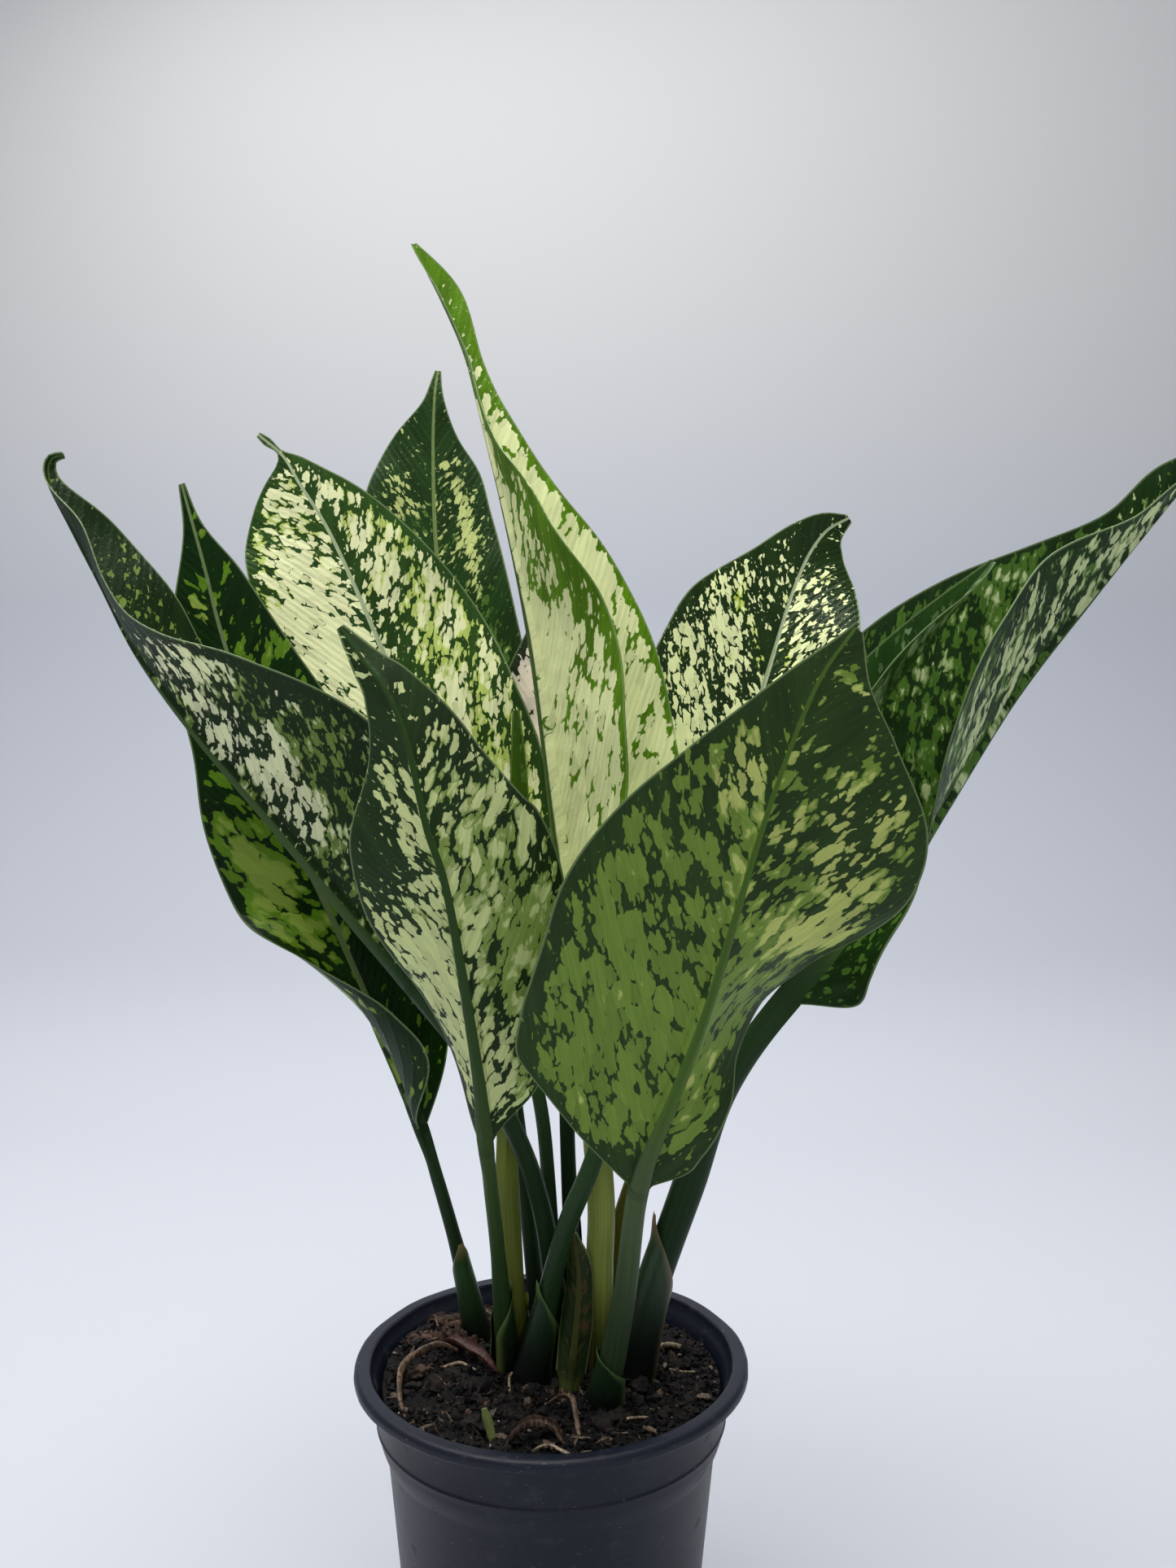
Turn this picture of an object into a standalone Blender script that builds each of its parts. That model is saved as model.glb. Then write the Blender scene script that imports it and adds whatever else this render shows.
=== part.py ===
"""A potted foliage plant: twelve variegated leaves on sheathed stalks, rooted in soil in a nursery pot.

Metres, +Z up. The origin is the middle of the pot's flat base, and -Y is the plant's front.
The leaves' own tables are in millimetres and degrees.
"""

import math
from typing import NamedTuple

import bmesh
import bpy
import numpy as np
from mathutils import Matrix, Vector, noise

MM = 0.001

# Pot
POT_HEIGHT = 0.105
RIM_RADIUS = 0.060
RIM_DEPTH = 0.0035
MOUTH_RADIUS = 0.055
COLLAR_TOP_RADIUS = 0.0542
COLLAR_FOOT_RADIUS = 0.0530
COLLAR_DEPTH = 0.0165
SHOULDER_RADIUS = 0.0498
SHOULDER_DEPTH = 0.026
BASE_RADIUS = 0.0415
BASE_ROUNDING = 0.0020
WALL = 0.0012
BASE_THICKNESS = 0.0020
LIP_ROUNDING = 0.0012
LIP_UNDERCUT = 0.0005
LIP_FILLET = 0.0015
POT_SIDES = 48
DRAIN_COUNT = 6
DRAIN_RADIUS = 0.0045
DRAIN_CIRCLE = 0.027
DRAIN_SIDES = 16

# Soil
SOIL_TOP = 0.0955
SOIL_MOUND = 0.0015
SOIL_LUMPS = 0.0012
SOIL_SPOKES = 36
SOIL_RINGS = 6
BIG_LUMP_SCALE = 70
SMALL_LUMP_SCALE = 160
SMALL_LUMP_SHARE = 0.6
STALK_DEPTH = 0.012
HOLE_SIDES = 18
HOLE_REACH = 0.012
FIT_GAP = 0.0004

# Leaves
BLADE_THICKNESS = 0.0009
BLADE_END = 0.985
BLADE_STEP = 0.016
BLADE_STEP_GROWTH = 1.2
LEAST_HALF_WIDTH = 0.0008
RIB_WIDTH = 0.75
RIB_HEIGHT = 1.0
RIB_TAPER = 1.2
RIB_MOST_SHARE = 0.45
STALK_STEP = 0.024
STALK_ROOT_LENGTH = 0.004
HALF_STEPS = 4
LINE_STEPS = 14
TANGENT_REACH = 0.001
FRONT = Vector((0, -1, 0))
SHARP_ANGLE = math.radians(50)


class Leaf(NamedTuple):
    """One leaf. Each row of halves holds the share of the midrib, then the left half's width, fold and curl,
    then the right half's. A fold is how far the half turns out of the plane seen from the front: above 0 it
    comes forward, and the curl adds to it from the midrib out to the margin. Waves are the count, the phase
    and the height of the margin's waves. The radii are the stalk's, at the soil, half way and at its top."""

    name: str
    colour: tuple
    stalk: tuple
    rib: tuple
    halves: tuple
    radii: tuple
    waves: tuple = (2, 0.0, 1.0)
    upper_in_front: bool = True


LEAVES = (
    Leaf(
        "leaf_front_right",
        (0.10, 0.17, 0.05),
        ((15, -18, 96), (21, -32, 134), (25, -44, 171)),
        ((33, -52, 197), (42, -59, 224), (55, -68, 270), (67, -72, 303), (77.5, -72, 319)),
        (
            (0, 3, 5, 0, 3, -10, 0),
            (0.03, 10, 5, 0, 11, -10, 0),
            (0.08, 23, 5, 0, 15, -12, 0),
            (0.17, 42, 5, 0, 19, -24, 0),
            (0.24, 45, 6, 0, 22, -46, 0),
            (0.32, 46, 9, 0, 31, -56, 0),
            (0.4, 46, 10, 0, 37, -44, 0),
            (0.5, 45, 10, 0, 42, -24, 0),
            (0.62, 37, 8, 0, 44, -10, 0),
            (0.74, 24, 5, 0, 39, 0, 0),
            (0.84, 13, 0, 0, 26, 0, 0),
            (0.94, 4, 0, 0, 11, 0, 0),
            (1, 1, 0, 0, 2, 0, 0),
        ),
        (4.2, 3.3, 2.8),
        (3, 0.2, 1.0),
        False,
    ),
    Leaf(
        "leaf_front_left",
        (0.30, 0.36, 0.17),
        ((-14, 3, 96), (-15.5, -16, 142), (-17.5, -34, 179)),
        (
            (-19, -44, 205.5), (-25, -59, 251), (-30, -63, 269), (-35, -64, 291), (-40.5, -63, 304),
            (-46, -61, 311), (-53.4, -58, 321),
        ),
        (
            (0, 2.5, -40, 0, 2.5, -40, 0),
            (0.08, 8, -50, 0, 13, -15, 0),
            (0.25, 19, -45, 0, 24, -15, 0),
            (0.5, 27, -25, 0, 31, -15, 0),
            (0.6, 26, -25, 0, 28, -15, 0),
            (0.76, 14, -30, 0, 16, -20, 0),
            (0.9, 5, -20, 0, 6, -20, 0),
            (1, 1, 0, 0, 1, 0, 0),
        ),
        (3.6, 2.2, 2.0),
        (2, 0.5, 1.0),
        False,
    ),
    Leaf(
        "leaf_far_left",
        (0.14, 0.20, 0.10),
        ((4, 4, 96), (-2, -6, 147), (-11, -17, 179), (-25, -20, 202), (-40.5, -21, 222)),
        (
            (-56, -24, 241), (-77, -27, 267), (-100, -28, 294), (-117, -27, 316.5), (-128, -25, 336),
            (-138, -22, 353), (-146.5, -19, 368), (-147, -17, 375.5), (-142.5, -17, 377),
        ),
        (
            (0, 3, 140, 0, 3, -40, 0),
            (0.1, 30, 155, 0, 22, -42, 0),
            (0.3, 43, 163, 0, 40, -46, 0),
            (0.42, 38, 158, 0, 38, -50, 0),
            (0.52, 30, 145, 0, 33, -62, 0),
            (0.6, 23, 125, 0, 27, -64, 0),
            (0.72, 14, 108, 0, 22, -53, 0),
            (0.84, 9, 125, 0, 14, -45, 0),
            (0.93, 3, 100, 0, 4, -30, 0),
            (1, 1, 60, 0, 1, -30, 0),
        ),
        (3.4, 2.8, 2.6),
        (2, 0.0, 0.5),
    ),
    Leaf(
        "leaf_left",
        (0.04, 0.10, 0.03),
        ((-23, 17, 96), (-31, 13, 133), (-42, 9, 172)),
        (
            (-56, 8, 206), (-71, 9, 240), (-86.5, 10, 273), (-105.5, 16, 324), (-114, 20, 352), (-123, 25, 379.5),
        ),
        (
            (0, 2.5, 60, 60, 2.5, -10, 0),
            (0.08, 20, 100, 60, 17, -20, 0),
            (0.17, 22, 75, 90, 24, -20, 0),
            (0.27, 23, 30, 80, 30, -20, 0),
            (0.38, 25, 15, 20, 32, -15, 0),
            (0.5, 24, 15, 0, 30, -5, 0),
            (0.6, 20, 10, 0, 27, 0, 0),
            (0.7, 19, 5, 0, 21, 0, 0),
            (0.84, 11, 0, 0, 11.5, 0, 0),
            (0.93, 3.5, 0, 0, 3, 0, 0),
            (1, 1, 0, 0, 1, 0, 0),
        ),
        (3.6, 2.2, 1.9),
        (4, 0.3, 1.2),
    ),
    Leaf(
        "leaf_back_left",
        (0.42, 0.50, 0.25),
        ((1, 14, 96), (-2, 8, 163), (-6.5, 13, 190), (-12.5, 20, 220)),
        ((-33, 30, 267), (-56, 41, 318), (-78, 51, 365), (-91.5, 55, 387), (-97.7, 57, 397), (-107, 57, 405)),
        (
            (0, 2.5, 0, 0, 2.5, 0, 0),
            (0.08, 18, 5, 0, 18, 10, 0),
            (0.25, 34, 5, 0, 35, 10, 0),
            (0.42, 38, 5, 0, 38, 10, 0),
            (0.6, 34, 5, 0, 34, 5, 0),
            (0.76, 33, 5, 0, 23, 5, 0),
            (0.86, 25, 0, 0, 13, 0, 0),
            (0.92, 9, 0, 0, 6, 0, 0),
            (0.948, 1.3, 0, 0, 1.3, 0, 0),
            (0.98, 1.6, 0, 0, 1.6, 0, 0),
            (1, 0.8, 0, 0, 0.8, 0, 0),
        ),
        (3.2, 2.2, 2.2),
        (3, 0.0, 1.0),
    ),
    Leaf(
        "leaf_back",
        (0.04, 0.09, 0.04),
        ((-4, 21, 96), (-10, 26, 150), (-17, 33, 200), (-25.5, 41, 247.5)),
        ((-36, 56, 298), (-44.5, 71, 363), (-47, 79, 401), (-47, 83, 426), (-46, 86, 438)),
        (
            (0, 2.5, 0, 0, 2.5, 0, 0),
            (0.1, 16, 10, 0, 16, 10, 0),
            (0.3, 29, 10, 0, 28, 10, 0),
            (0.5, 31, 10, 0, 27, 10, 0),
            (0.7, 27, 5, 0, 21, 5, 0),
            (0.78, 23, 5, 0, 17.5, 5, 0),
            (0.86, 15, 0, 0, 9, 0, 0),
            (0.93, 4.5, 0, 0, 4, 0, 0),
            (1, 1, 0, 0, 1, 0, 0),
        ),
        (3.0, 2.4, 2.4),
        (3, 0.4, 0.8),
    ),
    Leaf(
        "leaf_centre_back",
        (0.12, 0.15, 0.10),
        ((8, 12, 96), (4.5, 10, 171), (5, 21, 222.5)),
        ((5, 32, 256.5), (3.5, 44, 298), (1, 54, 333), (-1, 60, 360)),
        (
            (0, 2.5, 0, 0, 2.5, 0, 0),
            (0.2, 20, 5, 0, 20, 5, 0),
            (0.45, 29, 5, 0, 29, 5, 0),
            (0.7, 20, 5, 0, 20, 5, 0),
            (0.9, 6, 0, 0, 6, 0, 0),
            (1, 1, 0, 0, 1, 0, 0),
        ),
        (3.0, 2.4, 2.4),
    ),
    Leaf(
        "leaf_back_right",
        (0.25, 0.33, 0.15),
        ((-7, -4, 96), (3, -12, 142.5), (11.5, -17, 166), (15.5, -17, 177)),
        (
            (27.5, -9, 200), (46.5, 13, 245), (70, 34, 312), (83.5, 46, 350), (93.5, 51, 367.5), (104, 54, 374.5),
        ),
        (
            (0, 2.5, 0, 0, 2.5, 0, 0),
            (0.2, 18, 0, 0, 18, 5, 0),
            (0.45, 34, 0, 0, 34, 10, 0),
            (0.7, 38, 5, 0, 30, 15, 0),
            (0.78, 34, 5, 0, 27, 20, 0),
            (0.88, 17.5, 0, 0, 19, 10, 0),
            (0.95, 8, 0, 0, 8, 0, 0),
            (1, 1, 0, 0, 1.5, 0, 0),
        ),
        (4.2, 3.0, 2.9),
        (3, 0.1, 1.0),
    ),
    Leaf(
        "leaf_tall",
        (0.40, 0.52, 0.22),
        ((14, 4, 96), (14.7, -2, 133.5), (14.7, -6, 160), (8.5, -6, 224)),
        (
            (4, -4, 256), (-1, 0, 294), (-6.5, 5, 329), (-14.7, 12, 366), (-23.7, 20, 402),
            (-29.3, 25, 422), (-37.5, 29, 441), (-48, 33, 462),
        ),
        (
            (0, 4, 100, 0, 4, -10, 0),
            (0.12, 28, 120, 0, 34, -10, 0),
            (0.28, 40, 125, 0, 40, -10, 0),
            (0.42, 36, 128, 0, 36, -10, 0),
            (0.52, 28, 115, 0, 28, -10, 0),
            (0.6, 20, 110, 0, 18.5, -10, 0),
            (0.68, 11, 95, 0, 11.5, -10, 0),
            (0.8, 5, 90, 0, 5, -10, 0),
            (0.92, 4, 90, 0, 7, -10, 0),
            (1, 1, 60, 0, 1, 0, 0),
        ),
        (4.2, 4.2, 3.8),
        (2, 0.0, 0.5),
    ),
    Leaf(
        "leaf_far_right",
        (0.07, 0.14, 0.05),
        ((24, -2, 96), (30, -6, 125), (41.5, -11, 161), (51.5, -15, 190.5), (70.5, -18, 218)),
        (
            (95, -23, 245.5), (111, -26, 271.5), (133, -27, 305.5), (157, -25, 335), (182, -21, 364),
            (195.5, -18, 379),
        ),
        (
            (0, 4, -20, 0, 4, 20, 0),
            (0.05, 15, -20, 0, 15, 20, 0),
            (0.1, 26, -20, 0, 17, 55, 0),
            (0.25, 44, -20, 0, 22, 93, 0),
            (0.35, 47, -18, 0, 31, 110, 0),
            (0.45, 48, -15, 0, 38, 120, 0),
            (0.6, 36, -10, 0, 33, 132, 0),
            (0.7, 24, -5, 0, 24, 136, 0),
            (0.8, 13, 0, 0, 14, 125, 0),
            (0.92, 9, 0, 0, 7, 110, 0),
            (1, 1, 0, 0, 1, 60, 0),
        ),
        (4.6, 4.9, 3.6),
        (3, 0.0, 1.0),
    ),
    Leaf(
        "leaf_young_right",
        (0.16, 0.22, 0.12),
        ((17, 14, 96), (19.4, 7, 134), (26, -5, 163), (35.5, -19, 193), (53.5, -27, 240.5)),
        ((75, -31, 275), (96.5, -36, 308), (123, -39, 341.5)),
        (
            (0, 2.5, -20, 0, 2.5, 90, 0),
            (0.3, 12, -20, 0, 12, 110, 0),
            (0.6, 12, -20, 0, 12, 120, 0),
            (0.85, 6, -10, 0, 6, 110, 0),
            (1, 1, 0, 0, 1, 60, 0),
        ),
        (3.0, 2.2, 2.0),
        (2, 0.0, 0.3),
    ),
    Leaf(
        "leaf_new_left",
        (0.13, 0.24, 0.05),
        ((-10.5, 12, 96), (-12, 0, 123), (-13.2, -5, 152.5), (-13.5, -7, 174.5)),
        ((-12, -12, 235), (-9.4, -16, 276), (-10, -18, 302)),
        (
            (0, 4, -40, 0, 4, -40, 0),
            (0.3, 4.5, -40, 0, 4.5, -40, 0),
            (0.75, 4, -40, 0, 4, -40, 0),
            (0.92, 2, -20, 0, 2, -20, 0),
            (1, 1, 0, 0, 1, 0, 0),
        ),
        (3.3, 3.7, 3.6),
        (2, 0.0, 0.0),
    ),
    Leaf(
        "sheath_old",
        (0.10, 0.10, 0.03),
        ((5, -12.5, 96), (6, -12, 104)),
        ((8, -10.5, 122), (8.2, -9.5, 134), (6.6, -8.5, 145)),
        (
            (0, 5, -10, -30, 5, -10, -30),
            (0.4, 6, -10, -60, 6, -10, -60),
            (0.75, 4, -10, -40, 4.5, -10, -40),
            (1, 1, 0, 0, 1, 0, 0),
        ),
        (3.0, 3.0, 1.0),
        (2, 0.0, 0.0),
        False,
    ),
    Leaf(
        "shoot_pale",
        (0.35, 0.42, 0.14),
        ((-14.9, -38, 96), (-15.5, -38, 99.5)),
        ((-16.3, -38, 103), (-17.6, -38, 107.5)),
        (
            (0, 1.2, 0, -60, 1.2, 0, -60),
            (0.5, 1.3, 0, -60, 1.3, 0, -60),
            (1, 0.8, 0, 0, 0.8, 0, 0),
        ),
        (1.2, 1.0, 0.5),
        (2, 0.0, 0.0),
        False,
    ),
)


def smooth_line(points):
    """A Catmull-Rom curve through the points, as closely spaced positions."""
    p = np.array([2 * points[0] - points[1], *points, 2 * points[-1] - points[-2]])
    t = np.linspace(0, 1, LINE_STEPS, endpoint=False)[:, None]
    spans = []
    for a, b, c, d in zip(p[:-3], p[1:-2], p[2:-1], p[3:]):
        bend = (2 * a - 5 * b + 4 * c - d) * t**2 + (3 * b - a - 3 * c + d) * t**3
        spans.append(b + ((c - a) * t + bend) / 2)
    return np.vstack([*spans, p[-2][None]])


def smooth_row(rows, t):
    """The rows' values at t, on a cubic curve through them."""
    table = np.array(rows, float)
    x, y = table[:, 0], table[:, 1:]
    slopes = np.gradient(y, x, axis=0)
    k = int(np.clip(np.searchsorted(x, t, side="right") - 1, 0, len(x) - 2))
    span = x[k + 1] - x[k]
    u = (t - x[k]) / span
    ends = (1 + 2 * u) * (1 - u) ** 2 * y[k] + u * u * (3 - 2 * u) * y[k + 1]
    return ends + span * (u * (1 - u) ** 2 * slopes[k] + u * u * (u - 1) * slopes[k + 1])


class LeafLine:
    """The one curve that a leaf's stalk and midrib follow. Below the soil's surface it is straight."""

    def __init__(self, leaf):
        points = [np.array(p) * MM for p in leaf.stalk + leaf.rib]
        self.axis = (points[1] - points[0]) / np.linalg.norm(points[1] - points[0])
        self.foot = points[0]
        root = self.foot - STALK_DEPTH * self.axis
        self.line = smooth_line([root, *points])
        lengths = np.linalg.norm(np.diff(self.line, axis=0), axis=1)
        self.at = np.concatenate([[0], np.cumsum(lengths)])
        self.blade_start = self.at[LINE_STEPS * len(leaf.stalk)]
        self.blade_length = self.at[-1] - self.blade_start

    def point(self, distance):
        return Vector([np.interp(distance, self.at, self.line[:, k]) for k in range(3)])

    def frame(self, distance):
        """The point, the sideways direction seen from the front, and the direction forward."""
        ahead = self.point(distance + TANGENT_REACH)
        tangent = (ahead - self.point(distance - TANGENT_REACH)).normalized()
        side = tangent.cross(FRONT).normalized()
        return self.point(distance), side, side.cross(tangent)


def rib_size(leaf, t):
    """Half width and height of the midrib's ridge under the blade."""
    thick = leaf.radii[2] * MM
    half = RIB_WIDTH * thick * (1 - t) + LEAST_HALF_WIDTH
    return half, RIB_HEIGHT * thick * (1 - t) ** RIB_TAPER


def half_rows(leaf, here, side, forward, t, way, rib_half):
    """Position, normal and distance from the midrib, for the steps across one half of the blade."""
    row = smooth_row(leaf.halves, t)
    width, fold, curl = row[:3] if way < 0 else row[3:]
    width, fold, curl = max(width * MM, LEAST_HALF_WIDTH), math.radians(fold), math.radians(curl)
    first = min(rib_half, RIB_MOST_SHARE * width)
    count, phase, height = leaf.waves
    swing = height * MM * math.sin(2 * math.pi * (count * t + phase) + way) * math.sin(math.pi * t)
    place, gone, rows = here.copy(), 0.0, []
    for k in range(HALF_STEPS):
        stop = first + (width - first) * k / (HALF_STEPS - 1)
        angle = fold + curl * (gone + stop) / 2 / width
        place = place + (way * side * math.cos(angle) + forward * math.sin(angle)) * (stop - gone)
        gone = stop
        bend = fold + curl * stop / width
        normal = forward * math.cos(bend) - way * side * math.sin(bend)
        rows.append((place + normal * swing * (stop / width) ** 2, normal, stop))
    return rows


def blade_section(leaf, line, t):
    """Rows of (position, normal, distance from the midrib) across the blade, left margin first."""
    here, side, forward = line.frame(line.blade_start + t * line.blade_length)
    rib_half = rib_size(leaf, t)[0]
    left = half_rows(leaf, here, side, forward, t, -1, rib_half)
    right = half_rows(leaf, here, side, forward, t, 1, rib_half)
    middle = (left[0][1] + right[0][1]).normalized()
    return [*reversed(left), (here, middle, 0.0), *right]


def blade_ring(leaf, line, t):
    """The closed outline of the blade's section: its front from left to right, then its back."""
    rib_half, rib_high = rib_size(leaf, t)
    front, back = [], []
    for place, normal, out in blade_section(leaf, line, t):
        rib = rib_high * math.sqrt(max(0.0, 1 - (out / rib_half) ** 2))
        ahead, behind = (0.0, rib) if leaf.upper_in_front else (rib, 0.0)
        front.append(place + normal * (BLADE_THICKNESS / 2 + ahead))
        back.append(place - normal * (BLADE_THICKNESS / 2 + behind))
    return front + back[::-1]


def stalk_ring(leaf, line, share, roll):
    distance = share * line.blade_start
    here, side, forward = line.frame(distance)
    root = STALK_DEPTH + STALK_ROOT_LENGTH
    above = max(0.0, (distance - root) / (line.blade_start - root))
    radius = np.interp(above, [0, 0.5, 1], leaf.radii) * MM
    count = 2 * (2 * HALF_STEPS + 1)
    turns = [roll + math.pi / 2 - (k + 0.5) * 2 * math.pi / count for k in range(count)]
    return [here + (side * math.cos(a) + forward * math.sin(a)) * radius for a in turns]


def leaf_rings(leaf):
    """Outlines from the stalk's foot to the blade's tip. The stalk is rolled so that it meets the blade."""
    line = LeafLine(leaf)
    _, side, forward = line.frame(line.blade_start)
    middle = blade_section(leaf, line, 0.0)[HALF_STEPS][1]
    roll = math.atan2(middle.dot(forward), middle.dot(side))
    stalk_steps = max(3, round(line.blade_start / STALK_STEP))
    blade_steps = max(4, round(line.blade_length / BLADE_STEP))
    rings = [stalk_ring(leaf, line, k / stalk_steps, roll) for k in range(stalk_steps)]
    for k in range(blade_steps + 1):
        rings.append(blade_ring(leaf, line, BLADE_END * (k / blade_steps) ** BLADE_STEP_GROWTH))
    return rings


def material(name, colour, roughness):
    made = bpy.data.materials.new(name)
    made.use_nodes = True
    shader = made.node_tree.nodes["Principled BSDF"]
    shader.inputs["Base Color"].default_value = (*colour, 1)
    shader.inputs["Roughness"].default_value = roughness
    return made


def add_object(name, bm, finish=None, place=(0, 0, 0)):
    """Makes an object of the mesh. One with no finish is a cutter."""
    bmesh.ops.translate(bm, vec=-Vector(place), verts=bm.verts)
    mesh = bpy.data.meshes.new(name)
    bmesh.ops.recalc_face_normals(bm, faces=bm.faces)
    if bm.calc_volume(signed=True) < 0:
        bmesh.ops.reverse_faces(bm, faces=bm.faces)
    bm.to_mesh(mesh)
    bm.free()
    mesh.shade_smooth()
    mesh.set_sharp_from_angle(angle=SHARP_ANGLE)
    made = bpy.data.objects.new(name, mesh)
    made.location = place
    bpy.context.scene.collection.objects.link(made)
    if finish:
        mesh.materials.append(finish)
    else:
        made.hide_render = True
        made.display_type = "WIRE"
    return made


def cut(body, cutter):
    modifier = body.modifiers.new(cutter.name, "BOOLEAN")
    modifier.operation = "DIFFERENCE"
    modifier.object = cutter


def add_leaf(leaf):
    """A grid rolled into the leaf's skin. Its front and back are split along matching diagonals."""
    rings = leaf_rings(leaf)
    around, up = len(rings[0]), len(rings)
    bm = bmesh.new()
    bmesh.ops.create_grid(bm, x_segments=around, y_segments=up - 1, size=0.5)
    columns = {}
    for vert in bm.verts:
        columns[vert] = round((vert.co.x + 0.5) * around)
        vert.co = rings[round((vert.co.y + 0.5) * (up - 1))][columns[vert] % around]
    behind = [f for f in bm.faces if min(columns[v] for v in f.verts) >= around // 2]
    ahead = [f for f in bm.faces if min(columns[v] for v in f.verts) < around // 2]
    bmesh.ops.triangulate(bm, faces=ahead, quad_method="FIXED")
    bmesh.ops.triangulate(bm, faces=behind, quad_method="ALTERNATE")
    bmesh.ops.remove_doubles(bm, verts=bm.verts, dist=1e-6)
    bmesh.ops.holes_fill(bm, edges=bm.edges, sides=around)
    bmesh.ops.triangulate(bm, faces=[f for f in bm.faces if len(f.verts) > 3])
    add_object(leaf.name, bm, material(leaf.name, leaf.colour, 0.4), Vector(LeafLine(leaf).foot))


def turned(profile, sides):
    """The profile's (radius, height) points spun about the pot's axis into a closed body."""
    bm = bmesh.new()
    verts = [bm.verts.new((radius, 0, height)) for radius, height in profile]
    edges = [bm.edges.new(pair) for pair in zip(verts[:-1], verts[1:])]
    bmesh.ops.spin(bm, geom=verts + edges, cent=(0, 0, 0), axis=(0, 0, 1), angle=2 * math.pi, steps=sides)
    bmesh.ops.remove_doubles(bm, verts=bm.verts, dist=1e-6)
    return bm


def wall_radius(height):
    """Radius of the pot's outer wall at a height, below the rim."""
    heights = [0, POT_HEIGHT - SHOULDER_DEPTH, POT_HEIGHT - COLLAR_DEPTH, POT_HEIGHT - RIM_DEPTH]
    radii = [BASE_RADIUS, SHOULDER_RADIUS, COLLAR_FOOT_RADIUS, COLLAR_TOP_RADIUS]
    return float(np.interp(height, heights, radii))


def pot_profile():
    top, lip = POT_HEIGHT, RIM_DEPTH
    outside = [
        (0, 0),
        (BASE_RADIUS - BASE_ROUNDING, 0),
        (wall_radius(BASE_ROUNDING), BASE_ROUNDING),
        (SHOULDER_RADIUS, top - SHOULDER_DEPTH),
        (COLLAR_FOOT_RADIUS, top - COLLAR_DEPTH),
        (COLLAR_TOP_RADIUS, top - lip - LIP_UNDERCUT),
        (RIM_RADIUS - LIP_ROUNDING, top - lip),
        (RIM_RADIUS, top - 0.7 * lip),
        (RIM_RADIUS, top - 0.35 * lip),
        (RIM_RADIUS - LIP_ROUNDING, top),
        (MOUTH_RADIUS + LIP_ROUNDING, top),
        (MOUTH_RADIUS, top - 0.3 * lip),
    ]
    inside = [
        (COLLAR_TOP_RADIUS - WALL, top - lip - LIP_FILLET),
        (COLLAR_FOOT_RADIUS - WALL, top - COLLAR_DEPTH),
        (SHOULDER_RADIUS - WALL, top - SHOULDER_DEPTH),
        (wall_radius(BASE_THICKNESS) - WALL, BASE_THICKNESS),
        (0, BASE_THICKNESS),
    ]
    return outside + inside


def add_pot(finish):
    pot = add_object("pot", turned(pot_profile(), POT_SIDES), finish)
    drains = bmesh.new()
    for k in range(DRAIN_COUNT):
        turn = Matrix.Rotation(2 * math.pi * k / DRAIN_COUNT, 4, "Z")
        place = turn @ Matrix.Translation((DRAIN_CIRCLE, 0, 0))
        bmesh.ops.create_cone(
            drains, cap_ends=True, segments=DRAIN_SIDES, radius1=DRAIN_RADIUS, radius2=DRAIN_RADIUS,
            depth=6 * BASE_THICKNESS, matrix=place,
        )
    cut(pot, add_object("drain_cutter", drains))


def soil_profile():
    gap = FIT_GAP
    side = [
        (wall_radius(BASE_THICKNESS + gap) - WALL - gap, BASE_THICKNESS + gap),
        (SHOULDER_RADIUS - WALL - gap, POT_HEIGHT - SHOULDER_DEPTH),
        (COLLAR_FOOT_RADIUS - WALL - gap, POT_HEIGHT - COLLAR_DEPTH),
        (wall_radius(SOIL_TOP) - WALL - gap, SOIL_TOP),
    ]
    rim = side[-1][0]
    top = [(rim * k / SOIL_RINGS, SOIL_TOP) for k in range(SOIL_RINGS - 1, -1, -1)]
    return [(0, BASE_THICKNESS + gap), *side, *top]


def soil_height(place):
    """The soil's surface: a low mound with lumps, flat where it meets the pot."""
    out = math.hypot(place.x, place.y) / COLLAR_TOP_RADIUS
    lumps = noise.noise(place * BIG_LUMP_SCALE) + SMALL_LUMP_SHARE * noise.noise(place * SMALL_LUMP_SCALE)
    return SOIL_TOP + (SOIL_MOUND + SOIL_LUMPS * lumps) * max(0.0, 1 - out**4)


def add_soil(finish):
    bm = turned(soil_profile(), SOIL_SPOKES)
    for vert in bm.verts:
        if vert.co.z > SOIL_TOP - 1e-5:
            vert.co.z = soil_height(Vector((vert.co.x, vert.co.y, 0)))
    bmesh.ops.triangulate(bm, faces=bm.faces)
    soil = add_object("soil", bm, finish)
    for leaf in LEAVES:
        line = LeafLine(leaf)
        radius = (leaf.radii[0] * MM + FIT_GAP) / math.cos(math.pi / HOLE_SIDES)
        depth = STALK_DEPTH + FIT_GAP
        middle = Vector(line.foot + line.axis * (HOLE_REACH - depth) / 2)
        turn = Vector((0, 0, 1)).rotation_difference(Vector(line.axis)).to_matrix().to_4x4()
        bm = bmesh.new()
        bmesh.ops.create_cone(
            bm, cap_ends=True, segments=HOLE_SIDES, radius1=radius, radius2=radius,
            depth=HOLE_REACH + depth, matrix=Matrix.Translation(middle) @ turn,
        )
        cut(soil, add_object(leaf.name + "_hole", bm))


def main():
    for old in list(bpy.data.objects):
        bpy.data.objects.remove(old)
    for leaf in LEAVES:
        add_leaf(leaf)
    add_pot(material("pot_plastic", (0.04, 0.045, 0.06), 0.45))
    add_soil(material("soil_brown", (0.03, 0.02, 0.014), 0.95))


main()
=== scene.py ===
"""The looks of a potted foliage plant: splashed leaves, sheathed stalks, a satin pot and crumbly soil.

Metres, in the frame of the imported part. The tables of leaves, sheaths, strips and sticks are in millimetres
and degrees.
"""

import math
import random
from typing import NamedTuple

import bmesh
import bpy
import numpy as np
from mathutils import Matrix, Vector, noise


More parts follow.
